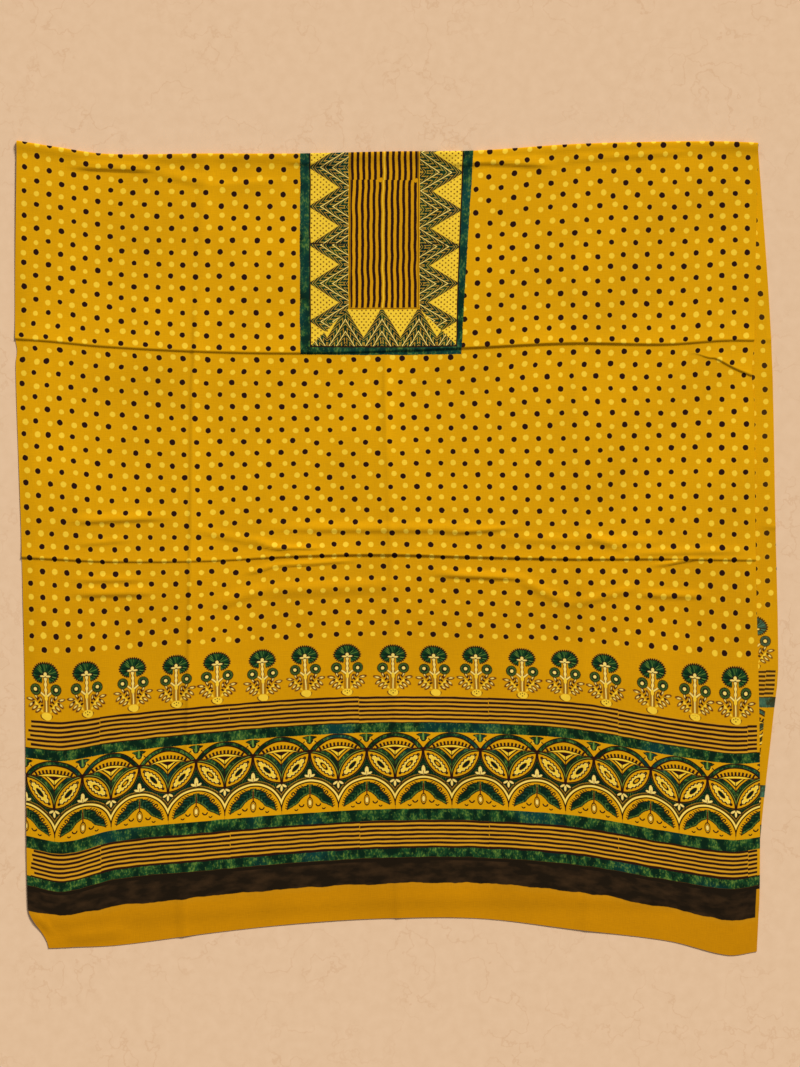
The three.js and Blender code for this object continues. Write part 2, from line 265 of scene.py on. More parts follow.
def outside_back(x, y):
    """How far a place lies past the back layer's left selvedge or its end."""
    rows = list(BACK.values())
    marks = [row[0] for row in rows]
    top, end = rows[0][3][0], rows[-1][3][0]
    along = np.minimum(FOLD_ALONG + (top - y) / (top - end) * (BACK_END - FOLD_ALONG), BACK_END)
    left = through(marks, [row[1] for row in rows], along)
    right = through(marks, [row[2] for row in rows], along)
    last = through(SHARES, rows[-1][3], (x - left) / (right - left))
    return np.maximum.reduce([left - x, last - y, x - right, np.zeros_like(x)])


print(len(BACK_FOLDS), "small folds in the back layer")

# %% [markdown]
# On the front all the rises add up: faint waves of slack, the packing creases, the wrinkles, and
# the tuck. The tuck is a small fold that was pressed flat with the cloth. It starts under the upper
# crease and runs down to the right selvedge on a line of its own.

# %% Relief of the front
SLACK = 0.25
SLACK_WAVES = [  # height, spacing across and along, start
    (0.13, 31, 83, 0), (0.12, -61, 27, 2),
]
TUCK_LINE = [  # share of the width, along
    (0.88, 875), (0.92, 868), (0.94, 860), (0.951, 858), (0.962, 851), (0.978, 842), (1, 832),
]
TUCK_START, TUCK_GROWTH = 0.905, 0.04  # shares of the width
TUCK_RISE, TUCK_GENTLE, TUCK_STEEP = 2.0, 10, 0.9
WRINKLE_END, WRINKLE_FADE = 1.15, 0.7  # how a wrinkle ends, in half lengths


def slack(x, y):
    """The faint waves of cloth that was once wrinkled and is now smoothed by hand."""
    height = SLACK
    for high, wide, long, start in SLACK_WAVES:
        height = height + high * np.sin(x / wide + y / long + start)
    return height


def tuck_along(shares):
    """How far along the cloth the tuck's line is, for each share of the width."""
    return through(*zip(*TUCK_LINE), shares)


def front_relief(x, y, shares, alongs):
    """The rise of the front's creases, wrinkles and tuck."""
    rise = slack(x, y)
    for line, (high, gentle, steep, strengths) in CROSS_CREASES.items():
        _, left, right, ys = FRONT[line]
        across_crease = (x - left) / (right - left)
        high = high * through(CREASE_MARKS, strengths, across_crease)
        rise = rise + ridge(y - through(SHARES, ys, across_crease), high, gentle, steep)
    for top, bottom, high, gentle, steep in DOWN_CREASES.values():
        here = bottom + (top - bottom) * alongs / FOLD_ALONG
        rise = rise + ridge((shares[None, :] - here) * WIDTH, high, gentle, steep)
    for start, end, high, gentle, steep in WRINKLES.values():
        share, distance = beside(start, end, x, y)
        side = np.where(distance > 0, gentle, steep)
        fade = smooth((WRINKLE_END - np.abs(2 * share - 1)) / WRINKLE_FADE)
        rise = rise + high * fade * smooth(1 - np.abs(distance) / side)
    high = TUCK_RISE * smooth((shares - TUCK_START) / TUCK_GROWTH)
    return rise + ridge(alongs - tuck_along(shares), high, TUCK_GENTLE, TUCK_STEEP)


print("The tuck rises", TUCK_RISE, "mm over the last", round(1 - TUCK_START, 3), "of the width")

# %% [markdown]
# A sheet of this size needs a fine grid only where something bends or where the print changes.
# The grid lines are therefore set close together beside each crease and wider elsewhere. A grid
# line also lies on each border between two printed zones, so that a face never holds two zones.

# %% Grid lines
ZONE_ALONG = [90, 158, 292, 341, 428, 866]  # borders between printed zones
PANEL_ACROSS = (418.0, 688.0)  # the strip of the cloth that holds the neck panel
PANEL_END = 1226.0  # where the neck panel stops, past the fold
FINE = [-9, -6, -4, -2.4, -1.2, 0, 2, 4.5, 8, 12]  # grid lines beside a crease across the cloth
FINE_DOWN, FINE_BACK = [-7, -3, 0, 4], [-8, -3, 0, 3, 8]  # beside one down it, and on the back
NEAR_FOLD = [4, 8, 12, 16, 21, 27]
EDGE = 2  # the first grid line inside an edge of the sheet
WIDEST_ACROSS, WIDEST_FRONT, WIDEST_BACK = 7.9, 7.6, 26.0
LEFT_QUARTER_COLUMNS = (240, 268, 2.4)  # from, to, widest step
CLOSE_SET = [(488, 640, 2.6), (1128, 1176, 3.2)]  # from, to, widest step
TUCK_ROW, TUCK_ROOM = 852, (800, 873)  # the row bent onto the tuck, and the rows that give way
TUCK_FINE = [-16, -10, -6, -3.5, -2, -1, 0, 1.5, 4, 8, 13]


def grid_lines(start, end, widest, wanted=()):
    """Grid lines from start to end: the wanted ones, and even steps between."""
    fixed = np.unique([start, end] + [w for w in wanted if start < w < end])
    out = [start]
    for a, b in zip(fixed[:-1], fixed[1:]):
        steps = math.ceil((b - a) / widest)
        out += [a + (b - a) * n / steps for n in range(1, steps + 1)]
    return np.array(out, float)


at_fold, at_end = np.array([DOWN_CREASES[name][:2] for name in ("middle", "right quarter")]).T
down_lines = [middle + d for middle in (at_fold + at_end) / 2 * WIDTH for d in FINE_DOWN]
down_lines += list(grid_lines(*LEFT_QUARTER_COLUMNS))
wanted = [EDGE, WIDTH - EDGE, *PANEL_ACROSS, *down_lines]
across = grid_lines(0, WIDTH, WIDEST_ACROSS, wanted)
creases = [FRONT[line][0] + d for line in CROSS_CREASES for d in FINE]
creases += [TUCK_ROW + d for d in TUCK_FINE]
close = [line for stretch in CLOSE_SET for line in grid_lines(*stretch, creases)]
wanted = [EDGE, *ZONE_ALONG, *creases, *[FOLD_ALONG - d for d in NEAR_FOLD], *close]
front_along = grid_lines(0, FOLD_ALONG, WIDEST_FRONT, wanted)
back_creases = [BACK[line][0] + d for line in CROSS_CREASES for d in FINE_BACK]
back_zones = [BACK_END - z for z in ZONE_ALONG[:-1]]
back_along = grid_lines(FOLD_ALONG, BACK_END, WIDEST_BACK, [PANEL_END, *back_creases, *back_zones])
loop_angles = np.radians([67.5, 45, 22.5, 0, -22.5, -45, -67.5])
print(len(across), "lines across,", len(front_along), "on the front,", len(back_along), "on the back")

# %% [markdown]
# Now the middle of the sheet, for each layer. The round fold takes up some cloth, so both layers
# are drawn back a little from the fold line. On the front, one row of the grid is bent onto the
# tuck, so that its sharp side lies on a grid line.

# %% Middle of the two layers
half = THICKNESS / 2
shares = across / WIDTH


def taken_up(alongs):
    """How far the round fold draws the cloth back from the fold line."""
    return smooth(1 - np.abs(alongs - FOLD_ALONG) / FOLD_SETTLE)


def grid_of(alongs):
    """The same distances along the cloth in every column."""
    return np.repeat(alongs[:, None], len(shares), axis=1)


by_tuck = smooth((shares - TUCK_LINE[0][0]) / (TUCK_LINE[1][0] - TUCK_LINE[0][0]))
bend = (tuck_along(shares) - TUCK_ROW) * by_tuck
give = np.interp(front_along, [TUCK_ROOM[0], TUCK_ROW, TUCK_ROOM[1]], [0, 1, 0])
front_bend = give[:, None] * bend[None, :]
front_grid = grid_of(front_along) + front_bend

front_x, front_y = lay_out(FRONT, shares, front_grid)
front_y = front_y - FOLD_RADIUS * taken_up(front_along)[:, None]
over = 1 - smooth((outside_back(front_x, front_y) - OVERHANG_START) / OVERHANG_DROP)
to_fold = ((FOLD_ALONG - front_along) / FOLD_REACH)[:, None]
relief = front_relief(front_x, front_y, shares, front_grid)
relief = relief * smooth(to_fold * FOLD_REACH / RELIEF_FADE)
front_z = half + back_lift(front_x, front_y) + LAYER_PITCH * over
front_z = front_z + FOLD_LIFT * np.exp(-(to_fold**2)) + relief

back_x, back_y = lay_out(BACK, shares, grid_of(back_along))
back_y = back_y - FOLD_RADIUS * taken_up(back_along)[:, None]
back_z = half + back_lift(back_x, back_y)

fold_x, fold_y = lay_out(FRONT, shares, grid_of(np.array([FOLD_ALONG])))
print("The front is", round(float(front_z.max()), 1), "mm high at most")

# %% [markdown]
# Each grid point gets a place on the printed face and one on the reverse, half the thickness to
# each side of the middle. At the fold the middle runs round a half circle, so the front goes over
# into the back without a sharp edge.

# %% Both faces of the sheet
def layer(x, y, z):
    """One face of a layer as rows of points in metres, moved onto the origin."""
    spread = np.broadcast_arrays(x + RECENTRE[0], y + RECENTRE[1], z)
    return np.stack(spread, axis=-1) * MM


def loop(radius):
    """The part of a face that runs round the fold."""
    angles = loop_angles[:, None]
    y = fold_y - FOLD_RADIUS + radius * np.cos(angles)
    return layer(fold_x, y, half + FOLD_RADIUS + radius * np.sin(angles))


def whole_face(side):
    """All points of the printed face (side 1) or the reverse (side -1)."""
    parts = [
        layer(front_x, front_y, front_z + side * half),
        loop(FOLD_RADIUS + side * half),
        layer(back_x, back_y, back_z - side * half),
    ]
    return np.concatenate(parts)


printed, reverse = whole_face(1), whole_face(-1)
rows, cols = printed.shape[:2]
around = FOLD_RADIUS * math.pi / 2
along_cloth = np.concatenate([
    front_along - around * taken_up(front_along),
    FOLD_ALONG - around * loop_angles / (math.pi / 2),
    back_along + around * taken_up(back_along),
])
print("Grid", rows, "by", cols)

# %% [markdown]
# The printed face, the reverse and the four rims are joined into one closed mesh. A Solidify
# modifier could thicken a single face, but with both faces laid out by number the gap between the
# layers is known exactly, also round the tight fold.

# %% Build the mesh
def quads(start, facing_down):
    """Index rows for the quads of one face. Both faces split along the same diagonal."""
    r, c = np.meshgrid(np.arange(rows - 1), np.arange(cols - 1), indexing="ij")
    a = start + r * cols + c
    corners = [a, a + 1, a + cols + 1, a + cols]
    if facing_down:
        corners = [a, a + cols, a + cols + 1, a + 1]
    return np.stack(corners, axis=-1).reshape(-1, 4)


count = rows * cols
index = np.arange(count).reshape(rows, cols)


def rim(line):
    """Quads between the printed face and the reverse along one edge of the sheet."""
    return np.stack([line[:-1], line[1:], line[1:] + count, line[:-1] + count], axis=-1)[:, ::-1]


faces = np.concatenate([
    quads(0, False),
    quads(count, True),
    rim(index[0]),
    rim(index[-1][::-1]),
    rim(index[:, 0][::-1]),
    rim(index[:, -1]),
])
points = np.concatenate([printed.reshape(-1, 3), reverse.reshape(-1, 3)])
mesh = bpy.data.meshes.new("folded_cloth")
mesh.from_pydata(points.tolist(), [], faces.tolist())
mesh.update()
cloth = bpy.data.objects.new("folded_cloth", mesh)
bpy.context.scene.collection.objects.link(cloth)
print("Triangles", 2 * len(faces))

# %% [markdown]
# Two maps are stored with the mesh. The first one holds the place on the flat cloth in metres, and
# the print is drawn with it, so the print bends with every crease. The second one packs the faces
# into a square: the front gets most of it, because there the print is seen.

# %% Two maps
corner_of = faces % count
on_cloth = np.stack([np.tile(across, rows), np.repeat(along_cloth, cols)], axis=-1)
on_cloth[:front_bend.size, 1] += front_bend.ravel()
plan = mesh.uv_layers.new(name="cloth_plan")
plan.data.foreach_set("uv", (on_cloth[corner_of] * MM).ravel())

MARGIN = 0.004
FRONT_WIDE = 0.74  # share of the square's width for the printed front
REST_WIDE = 1 - FRONT_WIDE
face_count = (rows - 1) * (cols - 1)
front_rows = len(front_along) + len(loop_angles) // 2
is_front = np.repeat(np.arange(rows - 1), cols - 1) < front_rows
fold_at, cloth_end = along_cloth[front_rows], along_cloth[-1]
STRIPS = {  # strip: (first face, from and to along the cloth, left, bottom, width, height)
    "printed front": (0, 0, fold_at, 0.0, 0.0, FRONT_WIDE, 1.0),
    "printed back": (0, fold_at, cloth_end, FRONT_WIDE, 0.45, REST_WIDE, 0.54),
    "reverse of the front": (face_count, 0, fold_at, FRONT_WIDE, 0.30, REST_WIDE, 0.14),
    "reverse of the back": (face_count, fold_at, cloth_end, FRONT_WIDE, 0.02, REST_WIDE, 0.27),
}
bake = np.zeros((len(faces), 4, 2))
for first, start, end, left, bottom, wide, high in STRIPS.values():
    chosen = np.nonzero(is_front == (start == 0))[0] + first
    corner = corner_of[chosen]
    up = (along_cloth[corner // cols] - start) / (end - start)
    bake[chosen, :, 0] = left + MARGIN + shares[corner % cols] * (wide - 2 * MARGIN)
    bake[chosen, :, 1] = bottom + MARGIN + up * (high - 2 * MARGIN)
RIM_LOW, RIM_HIGH = 0.002, 0.014
ends = np.linspace(FRONT_WIDE, 1, len(faces) - 2 * face_count + 1)
low_left, low_right = (ends[:-1], RIM_LOW), (ends[1:], RIM_LOW)
high_right, high_left = (ends[1:], RIM_HIGH), (ends[:-1], RIM_HIGH)
for k, (u, v) in enumerate([low_left, low_right, high_right, high_left]):
    bake[2 * face_count:, k, 0] = u
    bake[2 * face_count:, k, 1] = v
mesh.uv_layers.new(name="OFBake").data.foreach_set("uv", bake.ravel())
mesh.uv_layers["cloth_plan"].active_render = True
print("Maps:", [layer.name for layer in mesh.uv_layers])

# %% [markdown]
# A thin sheet has smooth faces, but its cut edges are square. Marking the rims' edges as sharp
# keeps the shading of the faces from running round them. Each face also learns whether it is on
# the reverse, because the dyes look paler there.

# %% Smooth faces and sharp rims
is_reverse = np.zeros(len(faces), np.float32)
is_reverse[face_count:] = 1.0
mesh.attributes.new("reverse", "FLOAT", "FACE").data.foreach_set("value", is_reverse)
mesh.polygons.foreach_set("use_smooth", np.ones(len(faces), bool))
edge_ends = np.zeros(len(mesh.edges) * 2, int)
mesh.edges.foreach_get("vertices", edge_ends)
edge_ends = edge_ends.reshape(-1, 2)
border = np.zeros((2, rows, cols), bool)
border[:, [0, -1], :] = True
border[:, :, [0, -1]] = True
same_side = (edge_ends[:, 0] < count) == (edge_ends[:, 1] < count)
sharp = border.ravel()[edge_ends].all(axis=1) & same_side
mesh.attributes.new("sharp_edge", "BOOLEAN", "EDGE").data.foreach_set("value", sharp)
mesh.validate()
print("Closed sheet with", len(mesh.polygons), "faces and", int(sharp.sum()), "sharp edges")

# %% [markdown]
# The print is drawn with shader nodes, because a picture file would blur up close. Wiring dozens of
# nodes by hand is slow to read, so three helpers make a node, join its ports, and hand on the wire
# that leaves it.

# %% Nodes and their wires
def connect(tree, value, port):
    """Joins a wire to a port, or types a plain number, triple or colour into it."""
    if isinstance(value, Wire):
        tree.links.new(value.socket, port)
    else:
        port.default_value = value


def new_node(tree, kind, ports, **settings):
    """A node with these settings, and with wires or plain values on its ports."""
    node = tree.nodes.new("ShaderNode" + kind)
    for name, setting in settings.items():
        setattr(node, name, setting)
    for port, value in ports.items():
        connect(tree, value, node.inputs[port])
    return node


def out_of(tree, kind, ports, out=0, **settings):
    """The wire that leaves a new node."""
    return Wire(tree, new_node(tree, kind, ports, **settings).outputs[out])


print("Helpers for nodes:", ", ".join(helper.__name__ for helper in (connect, new_node, out_of)))

# %% [markdown]
# A wire is a small class of its own, which can be added, scaled and compared like a number. Every
# line that does so makes the matching Math node.

# %% Arithmetic with wires
class Wire:
    """One output in a node tree. Plus, minus, times and divided by make a Math node."""

    def __init__(self, tree, socket):
        self.tree, self.socket = tree, socket

    def do(self, what, *others, clamp=False):
        """A Math node on this wire and the others."""
        ports = dict(enumerate((self, *others)))
        return out_of(self.tree, "Math", ports, operation=what, use_clamp=clamp)

    def __add__(self, other):
        return self.do("ADD", other)

    def __sub__(self, other):
        return self.do("SUBTRACT", other)

    def __rsub__(self, number):
        return out_of(self.tree, "Math", {0: number, 1: self}, operation="SUBTRACT")

    def __mul__(self, other):
        return self.do("MULTIPLY", other)

    def __truediv__(self, other):
        return self.do("DIVIDE", other)

    def __neg__(self):
        return self * -1

    def __abs__(self):
        return self.do("ABSOLUTE")

    def times_plus(self, factor, extra):
        """This wire times a factor, plus something."""
        return self.do("MULTIPLY_ADD", factor, extra)

    def ramp(self, start, end):
        """0 at start, 1 at end, held level outside."""
        return self.do("MULTIPLY_ADD", 1 / (end - start), -start / (end - start), clamp=True)


print("A wire's own steps:", ", ".join(name for name in vars(Wire) if name[0] != "_"))

# %% [markdown]
# Some nodes take several wires, or a vector of three numbers. Each gets a short function of its own
# name, so a later line says what it works out and not which node it uses.

# %% Nodes for several wires and for vectors
def least(*wires):
    """The smallest of some wires."""
    return functools.reduce(lambda a, b: a.do("MINIMUM", b), wires)


def most(*wires):
    """The largest of some wires."""
    return functools.reduce(lambda a, b: a.do("MAXIMUM", b), wires)


def vector(a, what, *others, out="Vector"):
    """One Vector Math node."""
    return out_of(a.tree, "VectorMath", dict(enumerate((a, *others))), out, operation=what)


def length(a):
    """How long a vector is."""
    return vector(a, "LENGTH", out="Value")


def scaled(a, factor):
    """A vector times one number."""
    return out_of(a.tree, "VectorMath", {0: a, "Scale": factor}, operation="SCALE")


def point(*numbers):
    """Two or three numbers as one vector."""
    tree = next(number.tree for number in numbers if isinstance(number, Wire))
    return out_of(tree, "CombineXYZ", dict(enumerate(numbers)))


def parts(a, kind="SeparateXYZ"):
    """The three numbers of a vector, or of a colour with SeparateColor."""
    return [Wire(a.tree, out) for out in new_node(a.tree, kind, {0: a}).outputs]


helpers = [least, most, vector, length, scaled, point, parts]
print("Helpers for wires:", ", ".join(helper.__name__ for helper in helpers))

# %% [markdown]
# A printed form is described by a distance: negative inside the form, zero on its outline, positive
# outside. The larger of two distances is what two forms share, and the smaller one is both together.
# The helpers below give such distances for discs, ovals and strips, and turn a distance into ink. A
# chart node bends a number along a drawn curve, for outlines that no circle or oval can give.

# %% Forms and ink
def far(place, centre):
    """Distance from a place to a point (x, y)."""
    return vector(place, "DISTANCE", (*centre, 0), out="Value")


def oval(place, centre, radii, turn=0.0):
    """Distance outside an oval of these radii, turned by so many degrees. Negative is inside."""
    ports = {
        "Vector": place,
        "Location": (*centre, 0),
        "Rotation": (0, 0, math.radians(turn)),
        "Scale": (*radii, 1),
    }
    turned = out_of(place.tree, "Mapping", ports, vector_type="TEXTURE")
    return length(turned).times_plus(min(radii), -min(radii))


def within(value, low, high):
    """Distance outside the strip where a value lies between low and high."""
    return abs(value - (low + high) / 2) - (high - low) / 2


SOFT = 0.5  # how far the dye creeps at the edge of a block's line


def ink(distance, soft=SOFT):
    """1 where the distance is negative, 0 where it is positive."""
    return distance.do("MULTIPLY_ADD", -1 / soft, 0.5, clamp=True)


CHART_LIMIT = 2000


def chart(value, table):
    """Straight lines between the (value, result) pairs of a table, as one Float Curve node."""
    node = new_node(value.tree, "FloatCurve", {"Value": value})
    curve = node.mapping.curves[0]
    node.mapping.clip_min_x, node.mapping.clip_max_x = -CHART_LIMIT, CHART_LIMIT
    node.mapping.clip_min_y, node.mapping.clip_max_y = -CHART_LIMIT, CHART_LIMIT
    curve.points[0].location, curve.points[-1].location = table[0], table[-1]
    for pair in table[1:-1]:
        curve.points.new(*pair)
    for dot in curve.points:
        dot.handle_type = "VECTOR"
    node.mapping.update()
    return Wire(value.tree, node.outputs[0])


print("Ink goes from full to none over", SOFT, "mm")

# %% [markdown]
# No hand print is even. Smooth noise makes lines wander and dye come out in clouds. White noise
# gives each block, dot or leaf one random number, the same on every run, so a whole form can slip,
# lean or change its colour.

# %% Uneven values and chance
def noise(place, scale, detail=1.0, out="Fac"):
    """Smooth random values from 0 to 1 over a place."""
    ports = {"Vector": place, "Scale": scale, "Detail": detail}
    return out_of(place.tree, "TexNoise", ports, out, noise_dimensions="2D")


def uneven(place, scale, detail, swing):
    """Smooth random values from minus a swing to plus a swing."""
    return noise(place, scale, detail).times_plus(2 * swing, -swing)


def stretched(place, across, along, detail):
    """Smooth random values, with a scale of its own in each direction."""
    return noise(vector(place, "MULTIPLY", (across, along, 0)), 1.0, detail)


def centred(triple):
    """A random triple, moved from 0 to 1 to lie evenly round zero."""
    return vector(triple, "SUBTRACT", (0.5, 0.5, 0.5))


def chance(place):
    """A random triple, from -0.5 to 0.5, for each whole-numbered place."""
    ports = {"Vector": place}
    return centred(out_of(place.tree, "TexWhiteNoise", ports, "Color", noise_dimensions="3D"))


print("Random values come from noise nodes, so each run gives the same cloth")

# %% [markdown]
# The real cloth is printed block over block, and the last block covers the ones before. The print
# in the material grows in the same order: each step lays one colour over what is there.

# %% Printing block over block
def paint(under, mask, over):
    """Lays a colour over another one where the mask is 1."""
    ports = {"Factor": mask, "A": under, "B": over}
    return out_of(mask.tree, "Mix", ports, "Result", data_type="RGBA")


class Print:
    """A print that grows block by block, like the real one."""

    def __init__(self, ground):
        self.colour = ground

    def tint(self, colour, mask):
        """Mixes a colour in where the mask says so."""
        self.colour = paint(self.colour, mask, colour)

    def put(self, colour, distance, soft=SOFT):
        """Prints a form, given by its distance, in one colour."""
        self.tint(colour, ink(distance, soft))

    def rings(self, distance, *rings):
        """Prints a form smaller and smaller. A ring is a colour, how far inside, and how soft."""
        for colour, inside, *soft in rings:
            self.put(colour, distance + inside, *soft)


print("A print's own steps:", ", ".join(name for name in vars(Print) if name[0] != "_"))

# %% [markdown]
# Ajrakh is dyed in a few baths only: a mustard ground, an iron black that looks brown in thin
# lines, and a green made of indigo over yellow. Where gum kept a dye off, pale yellow and cream
# show. Naming the dyes once keeps all zones alike.

# %% The dyes
def dye(red, green, blue):
    """A dye's colour from 0 to 255, as Blender's own linear colour."""
    return tuple((c / 255) ** 2.2 for c in (red, green, blue)) + (1.0,)


MUSTARD = dye(212, 151, 0)
DEEP_MUSTARD = dye(203, 142, 0)
# the plain hem below the dark band is painted this darker mustard than the dotted ground
HEM_MUSTARD = dye(190, 126, 0)
GOLDEN = dye(210, 148, 8)
TAN = dye(190, 132, 24)
PALE_TAN = dye(208, 152, 40)
FIELD_GOLD = dye(204, 144, 16)
YELLOW = dye(237, 194, 54)
CREAM = dye(238, 206, 108)
BLACK_BROWN = dye(44, 22, 16)
BROWN = dye(92, 44, 18)
DARK_BATH = dye(34, 26, 16)
DARK_BATH_THIN = dye(58, 42, 26)
DARK_GREEN = dye(14, 38, 24)
GREEN = dye(32, 72, 38)
MOSS = dye(112, 138, 54)
TEAL = dye(20, 74, 72)
REVERSE_GROUND = dye(196, 143, 8)
REVERSE_BLUE = dye(34, 106, 100)
print("Mustard in linear light:", [round(part, 3) for part in MUSTARD[:3]])

# %% [markdown]
# What several materials need is made once as a node group, with named inputs and outputs. Three
# helpers keep that short: one opens a group, one closes it, and one places it in a material.

# %% Helpers for node groups
COLOUR_SOCKETS = ("Print", "Colour")


def new_group(name, inputs, outputs):
    """An empty node group and its inputs as wires. Each input has a name and a first value."""
    group = bpy.data.node_groups.new(name, "ShaderNodeTree")
    for way, labels in (("INPUT", inputs), ("OUTPUT", outputs)):
        for label in labels:
            kind = "NodeSocketColor" if label in COLOUR_SOCKETS else "NodeSocketFloat"
            socket = group.interface.new_socket(label, in_out=way, socket_type=kind)
            if way == "INPUT":
                socket.default_value = inputs[label]
    given = group.nodes.new("NodeGroupInput")
    return group, {out.name: Wire(group, out) for out in given.outputs if out.name}


def give_out(group, **results):
    """Joins results to the group's outputs."""
    node = group.nodes.new("NodeGroupOutput")
    for label, value in results.items():
        connect(group, value, node.inputs[label])
    print("Group:", group.name, "with", len(group.nodes), "nodes")


def use(group, tree, **values):
    """Places a group in a tree and returns its outputs by name. An underscore stands for a space."""
    ports = {label.replace("_", " "): value for label, value in values.items()}
    node = new_node(tree, "Group", ports, node_tree=group)
    return {out.name: Wire(tree, out) for out in node.outputs}


def flat_place(tree):
    """The place on the flat cloth in metres, from the map that is stored with the mesh."""
    return out_of(tree, "UVMap", {}, uv_map="cloth_plan")


print("These sockets carry a colour:", ", ".join(COLOUR_SOCKETS))

# %% [markdown]
# The blocks are pressed by hand, so no line is quite straight. This group reads the place on the
# cloth, bends it a little, and gives it out in millimetres: the distance from the left selvedge,
# the distance below the top line of the border, and the distance along the cloth. The back half
# carries the same border, so there the border is measured from the back's own end.

# %% Group: place on the print
BORDER_TOP = FRONT["top of the border"][0]
PRINTS_MEET = 1236.0  # past the fold, where the print that starts at the back's end takes over
WOBBLE, WOBBLE_SCALE = 1.6, 34  # how far a line strays, and how many strays there are in a metre
place_group, given = new_group(
    "Place on the print", {"Wobble": WOBBLE}, ["Across", "Down", "Along"]
)
flat = flat_place(place_group)
wave = centred(noise(flat, WOBBLE_SCALE, out="Color"))
in_mm = (1 / MM, 1 / MM, 0)
s, t, _ = parts(vector(flat, "MULTIPLY_ADD", in_mm, scaled(wave, given["Wobble"])))
on_back_print = t.do("GREATER_THAN", PRINTS_MEET)
from_end = t + t.times_plus(-2, BACK_END) * on_back_print
give_out(place_group, Across=s, Down=BORDER_TOP - from_end, Along=t)

# %% [markdown]
# Every zone is the same cotton. A close look shows a fine plain weave with thicker threads here and
# there, and dye that took unevenly in soft clouds. On the reverse the dyes come through paler, and
# the indigo in the green turns blue. This group takes the finished print, adds all that, and gives
# the height of the weave for a bump.

# %% Group: dyed cotton
THREAD_LONG, THREAD_FINE = 70, 1000  # how often a thread changes in a metre, along and across it
CLOUD_SCALE, CLOUDS, DULLEST = 8, 0.26, 0.87
THREAD_SHADE = 0.14
BLUE_TURN, FADE = 0.6, 0.06  # how blue the green turns on the reverse, and how pale the rest
GREENISH = (0.01, 0.06)  # a dye with so much more green than red starts to turn, and turns fully
cotton_group, given = new_group(
    "Dyed cotton", {"Print": MUSTARD, "Reverse": 0.0}, ["Colour", "Height"]
)
flat = flat_place(cotton_group)
clouds = noise(flat, CLOUD_SCALE, detail=4).times_plus(CLOUDS, DULLEST)
threads = stretched(flat, THREAD_LONG, THREAD_FINE, 1) + stretched(flat, THREAD_FINE, THREAD_LONG, 1)
shade = threads.times_plus(THREAD_SHADE, -THREAD_SHADE) + clouds
red, green, _ = parts(given["Print"], "SeparateColor")
blueness = (green - red).ramp(*GREENISH) * given["Reverse"] * BLUE_TURN
faded = paint(given["Print"], blueness, REVERSE_BLUE)
faded = paint(faded, given["Reverse"] * FADE, REVERSE_GROUND)
grey = out_of(cotton_group, "CombineColor", dict.fromkeys(("Red", "Green", "Blue"), shade))
shaded = out_of(
    cotton_group, "Mix", {"Factor": 1.0, "A": faded, "B": grey}, "Result",
    data_type="RGBA", blend_type="MULTIPLY",
)
give_out(cotton_group, Colour=shaded, Height=threads * 0.5)  # the mean of the two directions

# %% [markdown]
# The green is never even: indigo over yellow leaves moss-green streaks, a bluish tinge here and
# there, and a few bare threads. One group gives that green, all but the bare threads, for the bands,
# the arches and the panel.

# %% Group: green dye
PATCHES, STREAKS = (0.07, 0.05, 4), (0.34, 0.22, 3)  # changes in a mm across and down, detail
PATCH_EDGES = (0.40, 0.62)
TINGE_SCALE, TINGE_EDGES, TINGE = 0.011, (0.55, 0.75), 0.45
MOSS_PATCHES, MOSS_STREAKS = 0.45, 0.55  # how much of the moss green each of the two decides
MOSS_EDGES, MOSS_SHARE = (0.52, 0.70), 0.75
green_group, given = new_group("Green dye", {"Across": 0.0, "Down": 0.0}, ["Colour"])
spot = point(given["Across"], given["Down"])
patches, streaks = stretched(spot, *PATCHES), stretched(spot, *STREAKS)
colour = paint(DARK_GREEN, patches.ramp(*PATCH_EDGES), GREEN)
colour = paint(colour, noise(spot, TINGE_SCALE).ramp(*TINGE_EDGES) * TINGE, TEAL)
moss = (patches * MOSS_PATCHES + streaks * MOSS_STREAKS).ramp(*MOSS_EDGES) * MOSS_SHARE
give_out(green_group, Colour=paint(colour, moss, MOSS))


def green_dye(across, down):
    """The uneven green at a place."""
    return use(green_group, across.tree, Across=across, Down=down)["Colour"]


# %% [markdown]
# The ground of the cloth is sown with dots. They stand on a staggered lattice: each row is shifted
# by half a step. The block that prints them holds four columns, and each print lands a little off,
# so a whole block of dots is shifted. This group finds the nearest dot and gives the distance to
# it, with a random number for each dot. The neck panel uses it again with finer steps.

# %% Group: staggered dots
DOT_STEPS = {"Step across": 36.6, "Step down": 35.9}
DOT_FAULTS = {"Jitter": 1.2, "Jog": 5.0}  # how far one dot strays, and a whole block of dots
BLOCK_ROWS, BLOCK_COLUMNS = (1 / 8, 0.13), (1 / 9, 0.055)  # blocks for each dot, and their start
dots_group, given = new_group(
    "Staggered dots",
    {"Across": 0.0, "Down": 0.0, **DOT_STEPS, "Seed": 0.0, **DOT_FAULTS},
    ["Distance", "Chance"],
)
a = given["Across"] / given["Step across"]
b = given["Down"] / given["Step down"]
corner = point(a + b, a - b)
whole = vector(vector(corner, "ADD", (0.5, 0.5, 0)), "FLOOR")
m, n, _ = parts(whole)
block = vector(point((m + n).times_plus(*BLOCK_ROWS), (m - n).times_plus(*BLOCK_COLUMNS)), "FLOOR")
u, v, _ = parts(vector(corner, "SUBTRACT", whole))
offset = point((u + v) * given["Step across"] * 0.5, (u - v) * given["Step down"] * 0.5)
seeded = point(0, 0, given["Seed"])
luck = chance(vector(whole, "ADD", seeded))
moved = vector(offset, "ADD", scaled(luck, given["Jitter"]))
moved = vector(moved, "ADD", scaled(chance(vector(block, "ADD", seeded)), given["Jog"]))
distance = length(vector(moved, "MULTIPLY", (1, 1, 0)))
give_out(dots_group, Distance=distance, Chance=parts(luck)[2])

